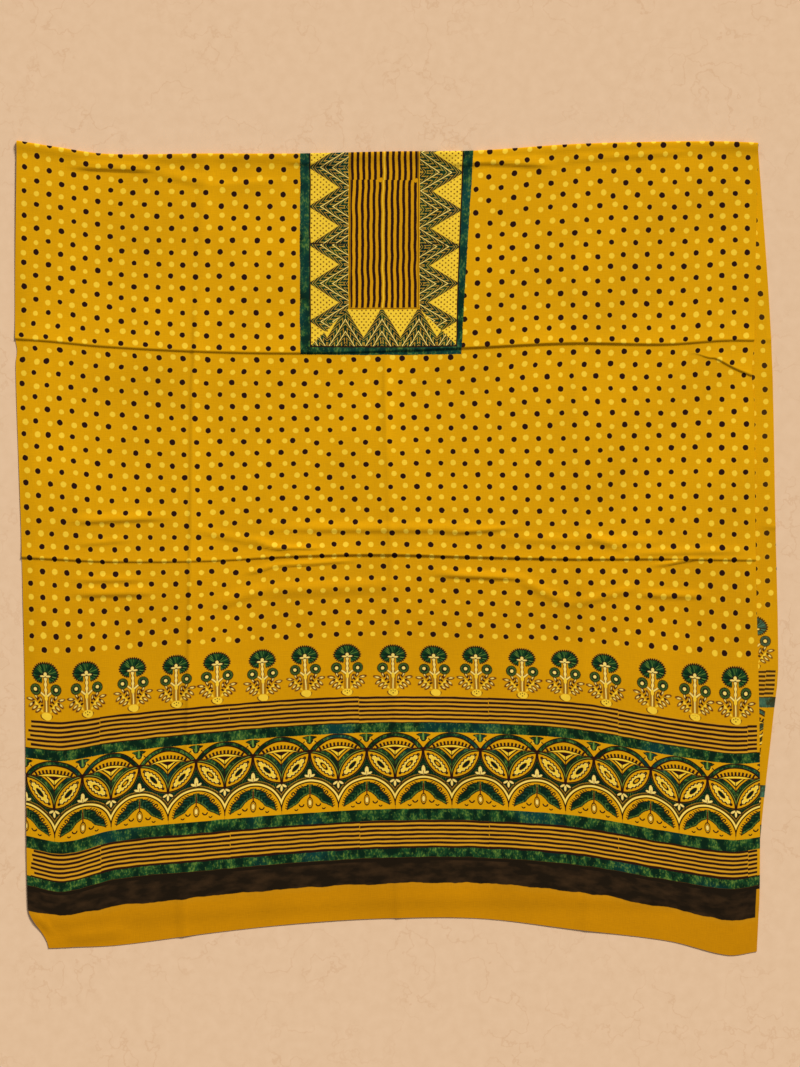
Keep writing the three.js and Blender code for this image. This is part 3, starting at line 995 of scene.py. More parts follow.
# %% [markdown]
# Each printed zone becomes a material. They all share the same frame: the place group in front, the
# drawing of the zone in the middle, and the cotton group behind it, which feeds a dull shader.

# %% Frame of a cloth material
WEAVE_BUMP, WEAVE_HEIGHT = 0.4, 0.5 * MM
ROUGHNESS, THREAD_ROUGHNESS = 0.80, 0.16
GLOSS, SHEEN = 0.06, 0.02
materials = []


def cloth_material(draw):
    """Adds a material, named after draw(across, down, along), which works out its print."""
    material = bpy.data.materials.new(draw.__name__)
    material.use_nodes = True
    tree = material.node_tree
    tree.nodes.clear()
    place = use(place_group, tree)
    print_colour = draw(place["Across"], place["Down"], place["Along"])
    side = out_of(tree, "Attribute", {}, "Fac", attribute_name="reverse")
    cotton = use(cotton_group, tree, Print=print_colour, Reverse=side)
    weave = cotton["Height"]
    bump = out_of(tree, "Bump", {"Strength": WEAVE_BUMP, "Distance": WEAVE_HEIGHT, "Height": weave})
    shader = out_of(tree, "BsdfPrincipled", {
        "Base Color": cotton["Colour"],
        "Roughness": weave.times_plus(THREAD_ROUGHNESS, ROUGHNESS),
        "Specular IOR Level": GLOSS,
        "Sheen Weight": SHEEN,
        "Normal": bump,
    })
    new_node(tree, "OutputMaterial", {"Surface": shader})
    materials.append(material)
    print(material.name, "has", len(tree.nodes), "nodes")


print("The bump of the weave is worth", WEAVE_BUMP * WEAVE_HEIGHT / MM, "mm")

# %% [markdown]
# First the dotted ground. Each dark dot has a pale yellow one to its left, printed with a second
# block that never lands in quite the same place.

# %% Dotted ground
FIRST_DOT = (176.0, 440.0)  # one dark dot: from the left selvedge, and along from the end
DARK_DOT, YELLOW_DOT = 4.1, 4.0  # radii
DARK_VARIES, YELLOW_VARIES = 0.8, 0.9
DARK_SOFT, YELLOW_SOFT = 0.8, 1.1  # how far their dye creeps
RAGGED = 0.3  # how often the edge of a dot changes in a mm
HALO, HALO_SOFT, HALO_SHARE = 1.2, 1.4, 0.2  # a faint pale ring round each dark dot
YELLOW_SHIFT = (16.0, -0.5)
LOWEST_DOT = 431.0
SHADE_TOWARDS_BORDER = (-340.0, -150.0)  # painted shade: towards the border the mustard is painted darker, where the cloth tilts away from the light


def dots(across, down, **sizes):
    """The distance to the nearest dot of a lattice, and a random number for it."""
    found = use(dots_group, across.tree, Across=across, Down=down, **sizes)
    return found["Distance"], found["Chance"]


def dotted_ground(across, down, along):
    """Mustard, sown with dark and pale yellow dots down to the lowest row."""
    x, y = across - FIRST_DOT[0], BORDER_TOP - FIRST_DOT[1] - down
    ragged = noise(point(across, along), RAGGED) - 0.5
    below = down + (LOWEST_DOT - BORDER_TOP)
    pale, pale_chance = dots(x + YELLOW_SHIFT[0], y + YELLOW_SHIFT[1], Seed=3.0)
    dark, dark_chance = dots(x, y)
    pale = most(pale + ragged - pale_chance.times_plus(YELLOW_VARIES, YELLOW_DOT), below)
    dark = most(dark + ragged - dark_chance.times_plus(DARK_VARIES, DARK_DOT), below)
    # painted shade: the ground is painted deeper mustard towards the border, where the cloth tilts
    # away from the light
    ground = Print(paint(MUSTARD, down.ramp(*SHADE_TOWARDS_BORDER), DEEP_MUSTARD))
    ground.put(YELLOW, pale, YELLOW_SOFT)
    ground.tint(YELLOW, ink(dark - HALO, HALO_SOFT) * HALO_SHARE)
    ground.put(BLACK_BROWN, dark, DARK_SOFT)
    return ground.colour


cloth_material(dotted_ground)

# %% [markdown]
# The border starts and ends with fine stripes: seven dark lines on a golden tan, and a green band
# below them. A block is as wide as a hand, so the lines jog slightly where two prints meet, and
# each line starts at its own distance from the selvedge.

# %% Striped bands
STRIPE_HALF, STRIPES = 1.7, 7
UPPER_SET, UPPER_STEP = 1.4, 6.62  # first line below the top line, and from line to line
LOWER_SET, LOWER_STEP = 190.6, 6.5
UPPER_GREEN = (40.6, 55.5)  # green bands between the stripes and what lies below them
MIDDLE_GREEN = (171.0, 188.4)
LOWER_GREEN = (230.4, 244.5)
STRIPE_BLOCK, FIRST_JOIN, STRIPE_JOG = 195.0, 112.0, 1.8
STRIPE_START, START_VARIES = 8, 11  # from the left selvedge
BARE_SELVEDGE = 4
STRIPE_FAULTS = 0.9  # how much a line's half width varies
JOG_SEED, START_SEED = 7, 5  # keep the lower set's random values apart from the upper set's
PALER = (1.8, 3.2)  # the tan gets paler this far off a line
GAP_HALF, GAPS = 0.5, (0.25, 0.35)  # gaps where two blocks meet, and which random values show one
GREEN_RIPPLE, RIM, THIN_RIM = 1.6, 0.8, 0.3  # a green band has a dark rim, thinner below
TOP_EDGE, BATH_EDGE = 0.6, 0.2  # where the stripes start above the top line, and the bath below


def striped_bands(across, down, along):
    """Two sets of dark lines with a green band above or below each."""
    lower = down.do("GREATER_THAN", (UPPER_GREEN[1] + MIDDLE_GREEN[0]) / 2)
    step = lower.times_plus(LOWER_STEP - UPPER_STEP, UPPER_STEP)
    first = lower.times_plus(LOWER_SET - UPPER_SET, UPPER_SET)
    in_block = (across - FIRST_JOIN) / STRIPE_BLOCK
    jog = parts(chance(point(in_block.do("FLOOR"), lower * JOG_SEED)))[0] * STRIPE_JOG
    here = (down - first + jog) / step
    number = (here + 0.5).do("FLOOR")
    off = abs(here - number) * step
    grain = stretched(point(across, down), across=0.035, along=0.2, detail=2)
    bands = Print(TAN)
    bands.tint(PALE_TAN, off.ramp(*PALER))
    luck = chance(point(number, lower * START_SEED))
    start = parts(luck)[0].times_plus(START_VARIES, STRIPE_START)
    bare = most(start - across, across - WIDTH + BARE_SELVEDGE)
    bands.put(DEEP_MUSTARD, -bare, soft=1.5)
    middle = STRIPES // 2
    past_last = abs(number - middle) - middle - 0.5
    wide = grain.times_plus(STRIPE_FAULTS, STRIPE_HALF - STRIPE_FAULTS / 2)
    bands.put(BLACK_BROWN, most(off - wide, past_last * step, bare), soft=0.7)
    gap = in_block.do("PINGPONG", 0.5) * STRIPE_BLOCK - GAP_HALF
    luck = chance(point(number, lower * JOG_SEED))
    bands.tint(TAN, ink(gap) * parts(luck)[1].ramp(*GAPS))
    bands.put(DEEP_MUSTARD, down + TOP_EDGE)
    green = green_dye(across, down)
    rippled = down + grain.times_plus(GREEN_RIPPLE, -GREEN_RIPPLE / 2)
    for top, bottom in (UPPER_GREEN, MIDDLE_GREEN, LOWER_GREEN):
        bands.put(BLACK_BROWN, within(rippled, top - RIM, bottom + THIN_RIM))
        bands.put(green, within(rippled, top + THIN_RIM, bottom))
    bands.put(DARK_BATH, LOWER_GREEN[1] + BATH_EDGE - rippled)
    return bands.colour


cloth_material(striped_bands)

# %% [markdown]
# The end of the cloth was dipped by hand in the dark bath, so the lower edge of the dark band
# wanders and wobbles. Below it the cloth is plain mustard to its cut end.

# %% Dark band and plain end
BAND_DEPTH = [  # share of the width, depth of the dark band
    (0, 39), (0.05, 37), (0.10, 43), (0.17, 40), (0.24, 41), (0.30, 36), (0.37, 39), (0.44, 34),
    (0.51, 35), (0.58, 36), (0.65, 36), (0.72, 41), (0.79, 41), (0.86, 43.5), (0.93, 44), (1, 46),
]
BAND_RIPPLE = 4.0
UNDYED_SELVEDGE = 5
SOAK, SOAK_SOFT, SOAK_SHARE = 5.0, 9.0, 0.4  # how far the bath tints the hem, and how much
THIN_BATH = (0.4, 0.75)  # random values between which the bath gets thin


def plain_end(across, down, along):
    """The dark band above, and the plain mustard hem below it."""
    wander = point(across * 0.022, down * 0.01)
    ripple = uneven(wander, scale=1.0, detail=3, swing=BAND_RIPPLE)
    edge = down - LOWER_GREEN[1] - chart(across / WIDTH, BAND_DEPTH) - ripple
    hem = Print(HEM_MUSTARD)
    hem.tint(TAN, ink(edge - SOAK, SOAK_SOFT) * SOAK_SHARE)
    thin = stretched(point(across, down), across=0.03, along=0.07, detail=3).ramp(*THIN_BATH)
    dark = paint(DARK_BATH, thin, DARK_BATH_THIN)
    hem.put(dark, most(edge, across - WIDTH + UNDYED_SELVEDGE), soft=1.0)
    return hem.colour


cloth_material(plain_end)

# %% [markdown]
# Above the border stands a row of flowering plants in pots. The block holds three of them. A plant
# is nearly the same left and right, so it is drawn once, on the distance from its own stem. This
# step finds the nearest stem, and gives each plant a small lean, lift and slip of its own.

# %% Plants: the nearest stem
PLANT_BLOCK = 195.05
FIRST_PLANT = 163.5  # the first stem of a block, from the left selvedge
PLANT_STEMS = (0.0, 64.4, 126.0)  # stems in one block
BLOCK_MARGIN = 34.6
PLANT_FOOT = 2.2
PLANT_LEAN, PLANT_LIFT, PLANT_SLIP = 0.06, 2.6, 1.3  # the slip is between light and dark blocks


def from_stem(across, down):
    """The place measured from the nearest plant's stem and foot."""
    local = (across - FIRST_PLANT + BLOCK_MARGIN) / PLANT_BLOCK
    block = local.do("FLOOR")
    local = local.do("FRACT").times_plus(PLANT_BLOCK, -BLOCK_MARGIN)
    first, middle, last = PLANT_STEMS
    second = local.do("GREATER_THAN", (first + middle) / 2)
    third = local.do("GREATER_THAN", (middle + last) / 2)
    stem = second.times_plus(middle, third * (last - middle))
    lean, lift, slip = parts(chance(point(block, second + third)))
    height = lift * PLANT_LIFT - PLANT_FOOT - down
    x = local - stem + height * lean * PLANT_LEAN
    side = abs(x)
    here = point(side, height)
    return SimpleNamespace(
        x=x, side=side, height=height, here=here, slip=slip,
        dark=vector(here, "ADD", scaled(point(slip, lean), PLANT_SLIP)),
        grain=uneven(point(across, down), scale=0.5, detail=2, swing=0.8),
    )


print(round(WIDTH / PLANT_BLOCK * len(PLANT_STEMS)), "plants fit across the cloth")

# %% [markdown]
# The leaves, stalks and pot are ovals from tables. The cream leaves are the bare cloth, kept free
# by gum, and the brown block is pressed over them later. It slips a little, so a brown edge shows
# on one side of each leaf.

# %% Plants: leaves and pot
LEAVES = {  # centre, half length, half width, turn
    "tip": ((23.8, 28.2), 3.7, 1.5, 8),
    "outer": ((22.4, 20.6), 3.7, 1.5, -44),
    "lower": ((17.6, 16.2), 3.6, 1.5, -40),
    "foot": ((12.6, 12.6), 3.3, 1.4, -36),
    "inner": ((8.2, 27.8), 2.7, 1.1, 76),
    "top": ((15.4, 32.4), 2.9, 1.2, 66),
}
DARK_LEAVES = {
    "upper": ((12.6, 29.6), 3.0, 1.1, -62),
    "middle": ((10.8, 24.6), 2.6, 1.4, -48),
    "seed": ((7.4, 20.0), 2.4, 1.6, -30),
    "shade": ((19.4, 23.6), 2.6, 1.1, -42),
}
STALKS = {"long": ((11.6, 17.6), 9.4, 1.9, 51), "top": ((17.6, 25.2), 5.2, 1.1, 40)}
POT, SLIPPED_POT = ((0, 5.0), (7.8, 5.2)), ((1.4, 4.2), (6.4, 5.2))  # centre, radii
POT_RIM = 6.5
PIPS, PIP = [(3.2, 6.4), (0.2, 3.4), (0, 7.6)], 0.85
PIPS_SHOWN = (9, -1)  # the slip decides, and about three plants in five have pips
RAGGED_LEAF, RAGGED_CREAM = 0.6, 0.7  # how ragged an outline is
LEAF_EDGE, CREAM_INSIDE, POT_EDGE, POT_INSIDE = 1.0, 0.3, 0.9, 0.3


def ovals(here, table):
    """Distance to the nearest oval of a table."""
    return least(*[oval(here, at, (long, wide), turn) for at, long, wide, turn in table.values()])


def leaves_and_pot(flower, at):
    """Lays the leaves and the pot down."""
    ragged = at.grain * RAGGED_LEAF
    flower.put(YELLOW, ovals(at.here, STALKS) + ragged, soft=0.8)
    flower.put(BROWN, ovals(at.dark, LEAVES) + ragged - LEAF_EDGE, soft=0.9)
    flower.put(CREAM, ovals(at.here, LEAVES) + at.grain * RAGGED_CREAM + CREAM_INSIDE, soft=1.0)
    flower.put(BLACK_BROWN, ovals(at.dark, DARK_LEAVES) + ragged, soft=0.8)
    pot = oval(at.here, *POT)
    flower.put(BROWN, most(pot - POT_EDGE, at.height - POT_RIM), soft=0.8)
    flower.put(YELLOW, pot + POT_INSIDE, soft=0.8)
    flower.put(YELLOW, oval(point(at.x, at.height), *SLIPPED_POT), soft=0.8)
    pips = least(*[far(at.here, pip) for pip in PIPS]) - PIP
    flower.put(BLACK_BROWN, most(pips, at.slip.times_plus(*PIPS_SHOWN)), soft=0.7)


print(len(LEAVES), "leaves kept by gum and", len(DARK_LEAVES), "dark ones on each side")

# %% [markdown]
# The stem is beaded above and striped below, with a fork where the lowest leaves start. On each
# side it carries a round bloom with small teeth.

# %% Plants: stem and blooms
STEM, TRUNK, FORK = (33.0, 59.0), (10.5, 33.0), (31.0, 38.6)  # from and to, in height
TRUNK_HALF, FORK_AT, KNOT = 3.6, 31.6, ((0, 30.6), (2.4, 4.4))
BEADS, BEAD, STEM_EDGE, STEM_HALF = 0.8, 0.5, (1.5, 2.7), 1.6
TRUNK_LINES, TRUNK_CORE = [(1.1, 1.9), (3.0, 3.9)], 1.0  # from and to, off the middle
FORK_SLOPE, FORK_SHARE = 1.2, 0.64  # share: a level distance, taken square to the slant
FORK_EDGE, FORK_HALF = 2.0, 1.25
BLOOM_AT, BLOOM, BLOOM_TEETH = (15.8, 42.3), 8.7, 21
TOOTH_LONG, BLOOM_GREEN, BLOOM_MOSS = 1.4, 7.0, (4.6, 7.2)
MOSS_FREE, MOSS_SHARP = 0.13, 5  # the moss green keeps this far off a tooth's middle
BLOOM_HEART, HEART_CREAM = 3.4, 2.5


def stem_and_blooms(flower, at):
    """Lays the stem and the two blooms over the leaves."""
    upper = within(at.height, *STEM)
    edge = at.side - (at.height * BEADS).do("SINE") * BEAD
    flower.put(BROWN, most(within(edge, *STEM_EDGE), upper) + at.grain * 0.4, soft=0.7)
    flower.put(CREAM, most(edge - STEM_HALF, upper), soft=0.6)
    trunk = within(at.height, *TRUNK)
    flower.put(TAN, most(at.side - TRUNK_HALF, trunk))
    lines = least(*[within(at.side, *line) for line in TRUNK_LINES])
    flower.put(BROWN, most(lines, trunk), soft=0.7)
    flower.put(CREAM, most(at.side - TRUNK_CORE, trunk))
    fork = abs(at.side - (at.height - FORK_AT) * FORK_SLOPE) * FORK_SHARE
    on_fork = within(at.height, *FORK)
    flower.put(BROWN, most(fork - FORK_EDGE, on_fork), soft=0.8)
    flower.put(CREAM, most(fork - FORK_HALF, on_fork), soft=0.7)
    flower.put(YELLOW, oval(at.here, *KNOT), soft=0.7)

    across, up, _ = parts(vector(at.dark, "SUBTRACT", (*BLOOM_AT, 0)))
    bloom = length(point(across, up))
    teeth = (across.do("ARCTAN2", up) * (BLOOM_TEETH / math.tau)).do("PINGPONG", 0.5)
    flower.put(BLACK_BROWN, bloom - BLOOM + teeth * TOOTH_LONG, soft=0.8)
    flower.put(DARK_GREEN, bloom - BLOOM_GREEN, soft=1.0)
    moss = most(within(bloom, *BLOOM_MOSS), (teeth - MOSS_FREE) * MOSS_SHARP)
    flower.put(MOSS, moss + at.grain * 0.8, soft=0.9)
    flower.put(BLACK_BROWN, bloom - BLOOM_HEART)
    flower.put(CREAM, far(at.here, BLOOM_AT) - HEART_CREAM + at.grain * 0.5, soft=0.7)


print("The stem ends", STEM[1], "mm over the foot, and a bloom has", BLOOM_TEETH, "teeth")

# %% [markdown]
# The crown is a fan of green rays with a spiky dark edge. Its outline is a curve round its middle,
# and the spikes are a zigzag in the angle. The rays are random values stretched outwards.

# %% Plants: crown
CROWN_AT = 62.0  # height above the pot's foot
CROWN_EDGE = [  # angle from straight up in radians, reach of the crown
    (0, 18.4), (0.8, 19.8), (1.5, 21.6), (1.85, 20.0), (2.15, 17.4), (2.5, 14.6), (2.7, 12.5),
    (3.15, 10),
]
SPIKES, SPIKE = 34, 5.2  # round a whole circle, and their size
RAYS, RAY_BEND = 6.0, 0.06
RAY_GREEN, RAY_MOSS, MOST_MOSS = (0.42, 0.58), (0.58, 0.72), 0.8
GAP_SIDE, GAP_TOP = 5.0, -1.5  # the gap for the stem: half width, and top from the middle
GREEN_INSIDE, GREEN_SPIKE, GREEN_FROM = 2.6, 2.0, 5.0
SPIKE_TIP = 0.4  # how far a spike's tip stands out of the crown's edge
HEART_PETAL, HEART = ((4.2, 60.6), (3.6, 1.3), 3), ((0, 63.4), (2.4, 2.9))


def crown(flower, at):
    """Sets the crown on the stem."""
    rise = at.height - CROWN_AT
    angle = at.side.do("ARCTAN2", rise)
    reach = length(point(at.side, rise))
    inside = reach - chart(angle, CROWN_EDGE)
    spikes = (angle * (SPIKES / math.tau)).do("PINGPONG", 0.5)
    notch = least(GAP_SIDE - at.side, GAP_TOP - rise)
    flower.put(TAN, most(inside, notch), soft=1.0)
    flower.put(BLACK_BROWN, most(inside + spikes * SPIKE - SPIKE_TIP, notch), soft=0.8)
    rays = noise(point(at.x.do("ARCTAN2", rise) * RAYS, reach * RAY_BEND), scale=1.0, detail=2)
    green = paint(DARK_GREEN, rays.ramp(*RAY_GREEN), GREEN)
    green = paint(green, rays.ramp(*RAY_MOSS) * MOST_MOSS, MOSS)
    in_green = inside + GREEN_INSIDE + spikes * GREEN_SPIKE
    flower.put(green, most(in_green, notch, GREEN_FROM - reach), soft=1.2)
    petals = least(oval(at.here, *HEART_PETAL), oval(at.here, *HEART))
    flower.rings(petals, (BLACK_BROWN, -0.9), (CREAM, 0))


def plant_row(across, down, along):
    """The row of plants on the deep mustard."""
    at = from_stem(across, down)
    flower = Print(DEEP_MUSTARD)
    leaves_and_pot(flower, at)
    stem_and_blooms(flower, at)
    crown(flower, at)
    return flower.colour


cloth_material(plant_row)

# %% [markdown]
# The widest band of the border is a chain of arches. It could be drawn line by line, but the old
# pattern is made of circles: where two rows of circles cross they leave pointed leaves between
# them. Measuring from the nearest crest or the nearest joint draws the whole chain at once, and
# the rings round each form are steps of the same distance.

# %% Arches: the circles
REPEAT = 85.5
HALF_REPEAT = REPEAT / 2
CREST_AT = 555.6  # one crest, from the left selvedge
SPRING = 23.5  # where the upper arches meet, below the band's top
UPPER_ARCH = ((0, 50.4), 50.6)  # circles: the middle, measured from a crest or a joint, and radius
LEAF_CIRCLE = ((0, 26.5), 42.8)
JOINT_CIRCLE = ((0, 68.7), 42.7)
LOWER_ARCH = ((0, 113.6), 49.0)
ARCH_BOTTOM = MIDDLE_GREEN[0] - UPPER_GREEN[1]


def outside(place, circle):
    """Distance outside a circle, given by its middle and radius."""
    return far(place, circle[0]) - circle[1]


def from_crest(across, down):
    """The place measured from the nearest crest and joint of the chain, and from its circles."""
    e = down - UPPER_GREEN[1]
    x = (across - CREST_AT).do("PINGPONG", HALF_REPEAT)
    j = HALF_REPEAT - x
    crest, joint = point(x, e), point(j, e)
    return SimpleNamespace(
        e=e, x=x, j=j, crest=crest, joint=joint,
        leaves=outside(crest, LEAF_CIRCLE), side=outside(joint, JOINT_CIRCLE),
        dome=outside(joint, LOWER_ARCH), green=green_dye(across, down),
        grain=uneven(point(across, down), scale=0.45, detail=1, swing=0.6),
        number=vector(point((across - CREST_AT) / HALF_REPEAT, e * 0), "FLOOR"),
    )


print("The chain has", round(WIDTH / REPEAT, 1), "arches across the cloth")

# %% [markdown]
# The lowest forms come first, because each later block prints over them: the hatched green between
# the arches, a small flower over each lower arch, and a petal under each pair of leaves. Then the
# lower arches are laid down as rings, from the dark outline to the golden middle.

# %% Arches: green ground and lower arches
HATCH, HATCH_EDGES, HATCH_SHARE = 1.9, (-0.2, 1.2), 0.7
TAN_LINE, TAN_SHARE = (1.2, 2.0), 0.8  # a thin line outside a lower arch
PALE_RING = (-3.8, -2.2)  # inside a lower arch
FLOWER, FLOWER_SIDE = ((0, 57.2), (2.9, 6.6)), ((4.6, 60.8), (3.4, 1.7), -24)
FLOWER_SLIT = (0.45, 58, 64)  # half width, from and to below the band's top
PETAL, PETAL_SIDE = ((0, 76.6), (1.7, 4.4)), ((4.3, 73.0), (3.8, 1.6), 30)
ARCH_FOOT = (0.8, 101, 110)


def slit(aside, e, half, top, bottom):
    """Distance outside an upright line."""
    return most(aside - half, within(e, top, bottom))


def ground_and_domes(band, at):
    """Lays down the green ground, the small flowers and the lower arches."""
    hatch = (at.side * HATCH).do("SINE").ramp(*HATCH_EDGES) * HATCH_SHARE
    under = most(SPRING - at.e, -at.leaves, -at.dome)
    band.put(paint(DARK_GREEN, hatch, at.green), under)
    band.tint(TAN, ink(most(within(at.dome + at.grain, *TAN_LINE), under)) * TAN_SHARE)
    flower = least(oval(at.joint, *FLOWER), oval(at.joint, *FLOWER_SIDE))
    band.put(BLACK_BROWN, flower - 0.9)
    band.put(CREAM, flower + at.grain * 0.6)
    band.put(BROWN, slit(at.j, at.e, *FLOWER_SLIT))
    petals = least(oval(at.crest, *PETAL), oval(at.crest, *PETAL_SIDE))
    band.rings(petals, (BLACK_BROWN, -1.1), (CREAM, 0))
    band.rings(at.dome, (BLACK_BROWN, 0), (YELLOW, 1.6))
    band.put(CREAM, within(at.dome, *PALE_RING), soft=1.0)
    band.rings(at.dome, (BLACK_BROWN, 4.5), (GOLDEN, 6.4))
    band.put(BLACK_BROWN, slit(at.x, at.e, *ARCH_FOOT))


print("A lower arch is part of a circle", 2 * LOWER_ARCH[1], "mm wide")

# %% [markdown]
# Inside each lower arch two fronds hang from its top. A frond is measured along its own slanting
# line, and two curves say how far it reaches to each side. A sine along that line gives the comb of
# its outer edge, and another one its veins. Below the fronds are small hooks and a bud.

# %% Arches: fronds and buds
FROND_TOP = 73.0
FROND_RUN = (0.692, 0.722)  # direction of a frond, sideways and down
FROND_OUTER = [  # distance along the frond, reach to its outer and its inner side
    (0, 0.5), (6.7, 3.7), (13.4, 6.8), (19.4, 8.3), (24.9, 5.8), (32.2, 6.6), (39, 7.2),
    (45, 3.9), (50.5, 0.2),
]
FROND_INNER = [
    (0, 0.5), (10.3, -9.9), (17.9, -7), (24.5, -6.2), (32.4, -6.7), (40.4, -3.5), (50.5, -0.2),
]
FROND_STALK = (1.0, 78, 93)
COMB, COMB_SLANT, COMB_DEEP = 1.72, 0.5, 0.6  # waves along the frond, and how deep they cut it
HAIR_WAVE, HAIR_HALF = -1.1, 0.3  # the hairs stand between the teeth of the comb
HAIR_REACH, HAIR_RUN, HAIR_INSIDE = (-1, 3.5), (7, 50), 7.0
VEINS, VEIN_SLANT, VEIN_EDGES, VEIN_SHARE = 1.05, 0.9, (-0.3, 1.0), 0.7
RIB, RIB_INSIDE, RIB_SOFT, RIB_EDGES = (-3.0, -1.3), 1.2, 1.2, (-0.3, 0.5)
HOOKS = [  # centre, radius, half width, where it is cut, and which half is left
    ((12.6, 102.4), 3.4, 1.0, 102.4, "lower"),
    ((25.0, 86.4), 2.1, 0.9, 87.4, "upper"),
    ((20.8, 108.4), 2.3, 0.9, 108.8, "lower"),
]
BUD = ((0, 100.6), (4.6, 8.6))


def hook(at, centre, radius, half, cut, left):
    """Distance outside half a ring."""
    ring = abs(far(at.joint, centre) - radius) - half
    return most(ring, cut - at.e if left == "lower" else at.e - cut)


def fronds_and_buds(band, at):
    """Hangs two fronds, hooks and a bud in each lower arch."""
    below = at.e - FROND_TOP
    run = at.j * FROND_RUN[0] + below * FROND_RUN[1]
    off = at.j * FROND_RUN[1] - below * FROND_RUN[0]
    over = off - chart(run, FROND_OUTER)
    beneath = chart(run, FROND_INNER) - off
    comb = (run * COMB - off * COMB_SLANT).do("SINE")
    hairs = most(comb * HAIR_WAVE + HAIR_HALF, within(over, *HAIR_REACH), within(run, *HAIR_RUN))
    band.put(BLACK_BROWN, most(hairs, at.dome + HAIR_INSIDE), soft=0.6)
    on_line = within(run, 0, FROND_OUTER[-1][0])
    frond = most(over + comb * COMB_DEEP, beneath + at.grain, on_line)
    veins = (run * VEINS - abs(off) * VEIN_SLANT).do("SINE").ramp(*VEIN_EDGES)
    veined = paint(DARK_GREEN, veins * VEIN_SHARE, at.green)
    band.rings(frond, (BLACK_BROWN, 0), (veined, 1.0))
    rib = ink(most(within(beneath, *RIB), frond + RIB_INSIDE), RIB_SOFT)
    band.tint(MOSS, rib * at.grain.ramp(*RIB_EDGES))
    band.put(BROWN, slit(at.j, at.e, *FROND_STALK), soft=0.7)
    band.put(BLACK_BROWN, least(*[hook(at, *row) for row in HOOKS]))
    bud = oval(at.joint, *BUD)
    band.put(BLACK_BROWN, bud + at.grain * 0.5)
    band.rings(bud, (GOLDEN, 1.1), (BROWN, 1.9), (CREAM, 2.5))


print("A frond is", FROND_OUTER[-1][0], "mm long, with", len(HOOKS), "hooks beside it")

# %% [markdown]
# A leaf is what the two kinds of circles share. Its rings go inwards: a dark outline, gold, a dark
# wavy line, cream and yellow. Only some leaves have a green eye, so a random number for each leaf
# decides that.

# %% Arches: leaves
LEAF_MIDDLE, LEAF_TURN = (21.4, 47.8), -45
LEAF_WAVE, WAVE_START, WAVE_HIGH = 1.05, 1.57, 0.75
LEAF_EYE = (LEAF_MIDDLE, (7.8, 3.1), LEAF_TURN)
DIAGONAL = 0.707


def leaves(band, at):
    """Lays the rings of each leaf, and its eye."""
    leaf = most(at.leaves, at.side)
    band.rings(leaf, (BLACK_BROWN, 0), (GOLDEN, 2.1))
    along_leaf = (at.x - LEAF_MIDDLE[0]) * DIAGONAL - (at.e - LEAF_MIDDLE[1]) * DIAGONAL
    wave = along_leaf.times_plus(LEAF_WAVE, WAVE_START).do("SINE") * WAVE_HIGH
    edge = leaf + wave + at.grain * 0.5
    band.rings(edge, (BLACK_BROWN, 5.2), (CREAM, 7.1), (YELLOW, 8.1, 1.2))
    green_eye = parts(chance(at.number))[0].do("GREATER_THAN", 0.0)
    eye = oval(at.crest, *LEAF_EYE)
    band.rings(eye, (BLACK_BROWN, 0), (paint(DARK_GREEN, green_eye, GOLDEN), 1.5))


print("A leaf's eye is", 2 * LEAF_EYE[1][0], "mm long")

# %% [markdown]
# Between two leaves opens a fan. Its rings follow the leaves' own circle, so the distance to that
# circle gives them all. The upper edge of the fan is a line that bends down to the sides, with
# short strokes above it.

# %% Arches: fans
FAN_RINGS = [  # colour, from and to, outside the leaf's circle
    ("dark", 1.0, 8.1), ("green", 2.4, 6.4), ("gold", 8.1, 10.4), ("dark", 10.2, 12.1),
]
BASE_RISE, BASE_DROP = 0.0080, 5.6  # the line under the strokes, bent down to the sides
FAN_BASE, FAN_MIDDLE = 17.8, 66
STROKES, STROKE_END = 9.3, 31.0  # for each radian round the fan's middle
STROKE_GAP, STROKE_GROWTH, STROKE_HALF, STROKE_SPAN = 5.4, 0.05, 1.7, (-5.2, 0.5)
WEDGE_END, WEDGE_SLOPE, WEDGE_TOP = 28.4, 1.9, 20  # the dark wedge that the stem hangs from
LINE_AT, LINE_SIDES, LINE_FALL, BASE_LINE = 22.6, (12.0, 26.0), 3.0, 1.3
MOSS_LINE = (-1, 1.4)  # on the leaf's circle
FAN_STEM = (0.55, 26, 70)


def fans(band, at):
    """Opens a fan between two leaves, with strokes on its upper edge."""
    colours = {"dark": BLACK_BROWN, "green": at.green, "gold": GOLDEN}
    fan = most(at.leaves, -at.side, SPRING * 0.5 - at.e)
    band.put(MOSS, most(fan, within(at.side, *MOSS_LINE)))
    for name, start, end in FAN_RINGS:
        band.put(colours[name], most(fan, within(at.side, start, end)))
    band.put(YELLOW, most(fan, FAN_RINGS[-1][2] - at.side))
    band.put(BLACK_BROWN, most(at.x - (WEDGE_END - at.e) * WEDGE_SLOPE, WEDGE_TOP - at.e))
    band.put(BLACK_BROWN, slit(at.x, at.e, *FAN_STEM))
    arc = at.e - (at.x * at.x * BASE_RISE).do("MINIMUM", BASE_DROP)
    above_line = most(arc + at.x.ramp(*LINE_SIDES) * LINE_FALL - LINE_AT, at.leaves)
    band.rings(above_line, (BROWN, 0), (YELLOW, 0.8))
    from_base = arc - FAN_BASE
    band.put(BLACK_BROWN, most(from_base - BASE_LINE, at.leaves))
    band.put(GOLDEN, most(from_base, at.leaves))
    angle = at.x.do("ARCTAN2", FAN_MIDDLE - at.e)
    comb = (angle * STROKES).do("PINGPONG", 0.5) * STROKE_GAP
    half = from_base.times_plus(STROKE_GROWTH, STROKE_HALF)
    strokes = most(comb - half, within(from_base, *STROKE_SPAN))
    band.put(BLACK_BROWN, most(strokes + at.grain * 0.4, at.x - STROKE_END), soft=0.8)


print("A fan has", len(FAN_RINGS), "rings")

# %% [markdown]
# The upper arches close the chain with a green ring between two dark lines, and a small tulip hangs
# between each pair. Last come the green bands above and below. On the back the arches stop short of
# the right selvedge.

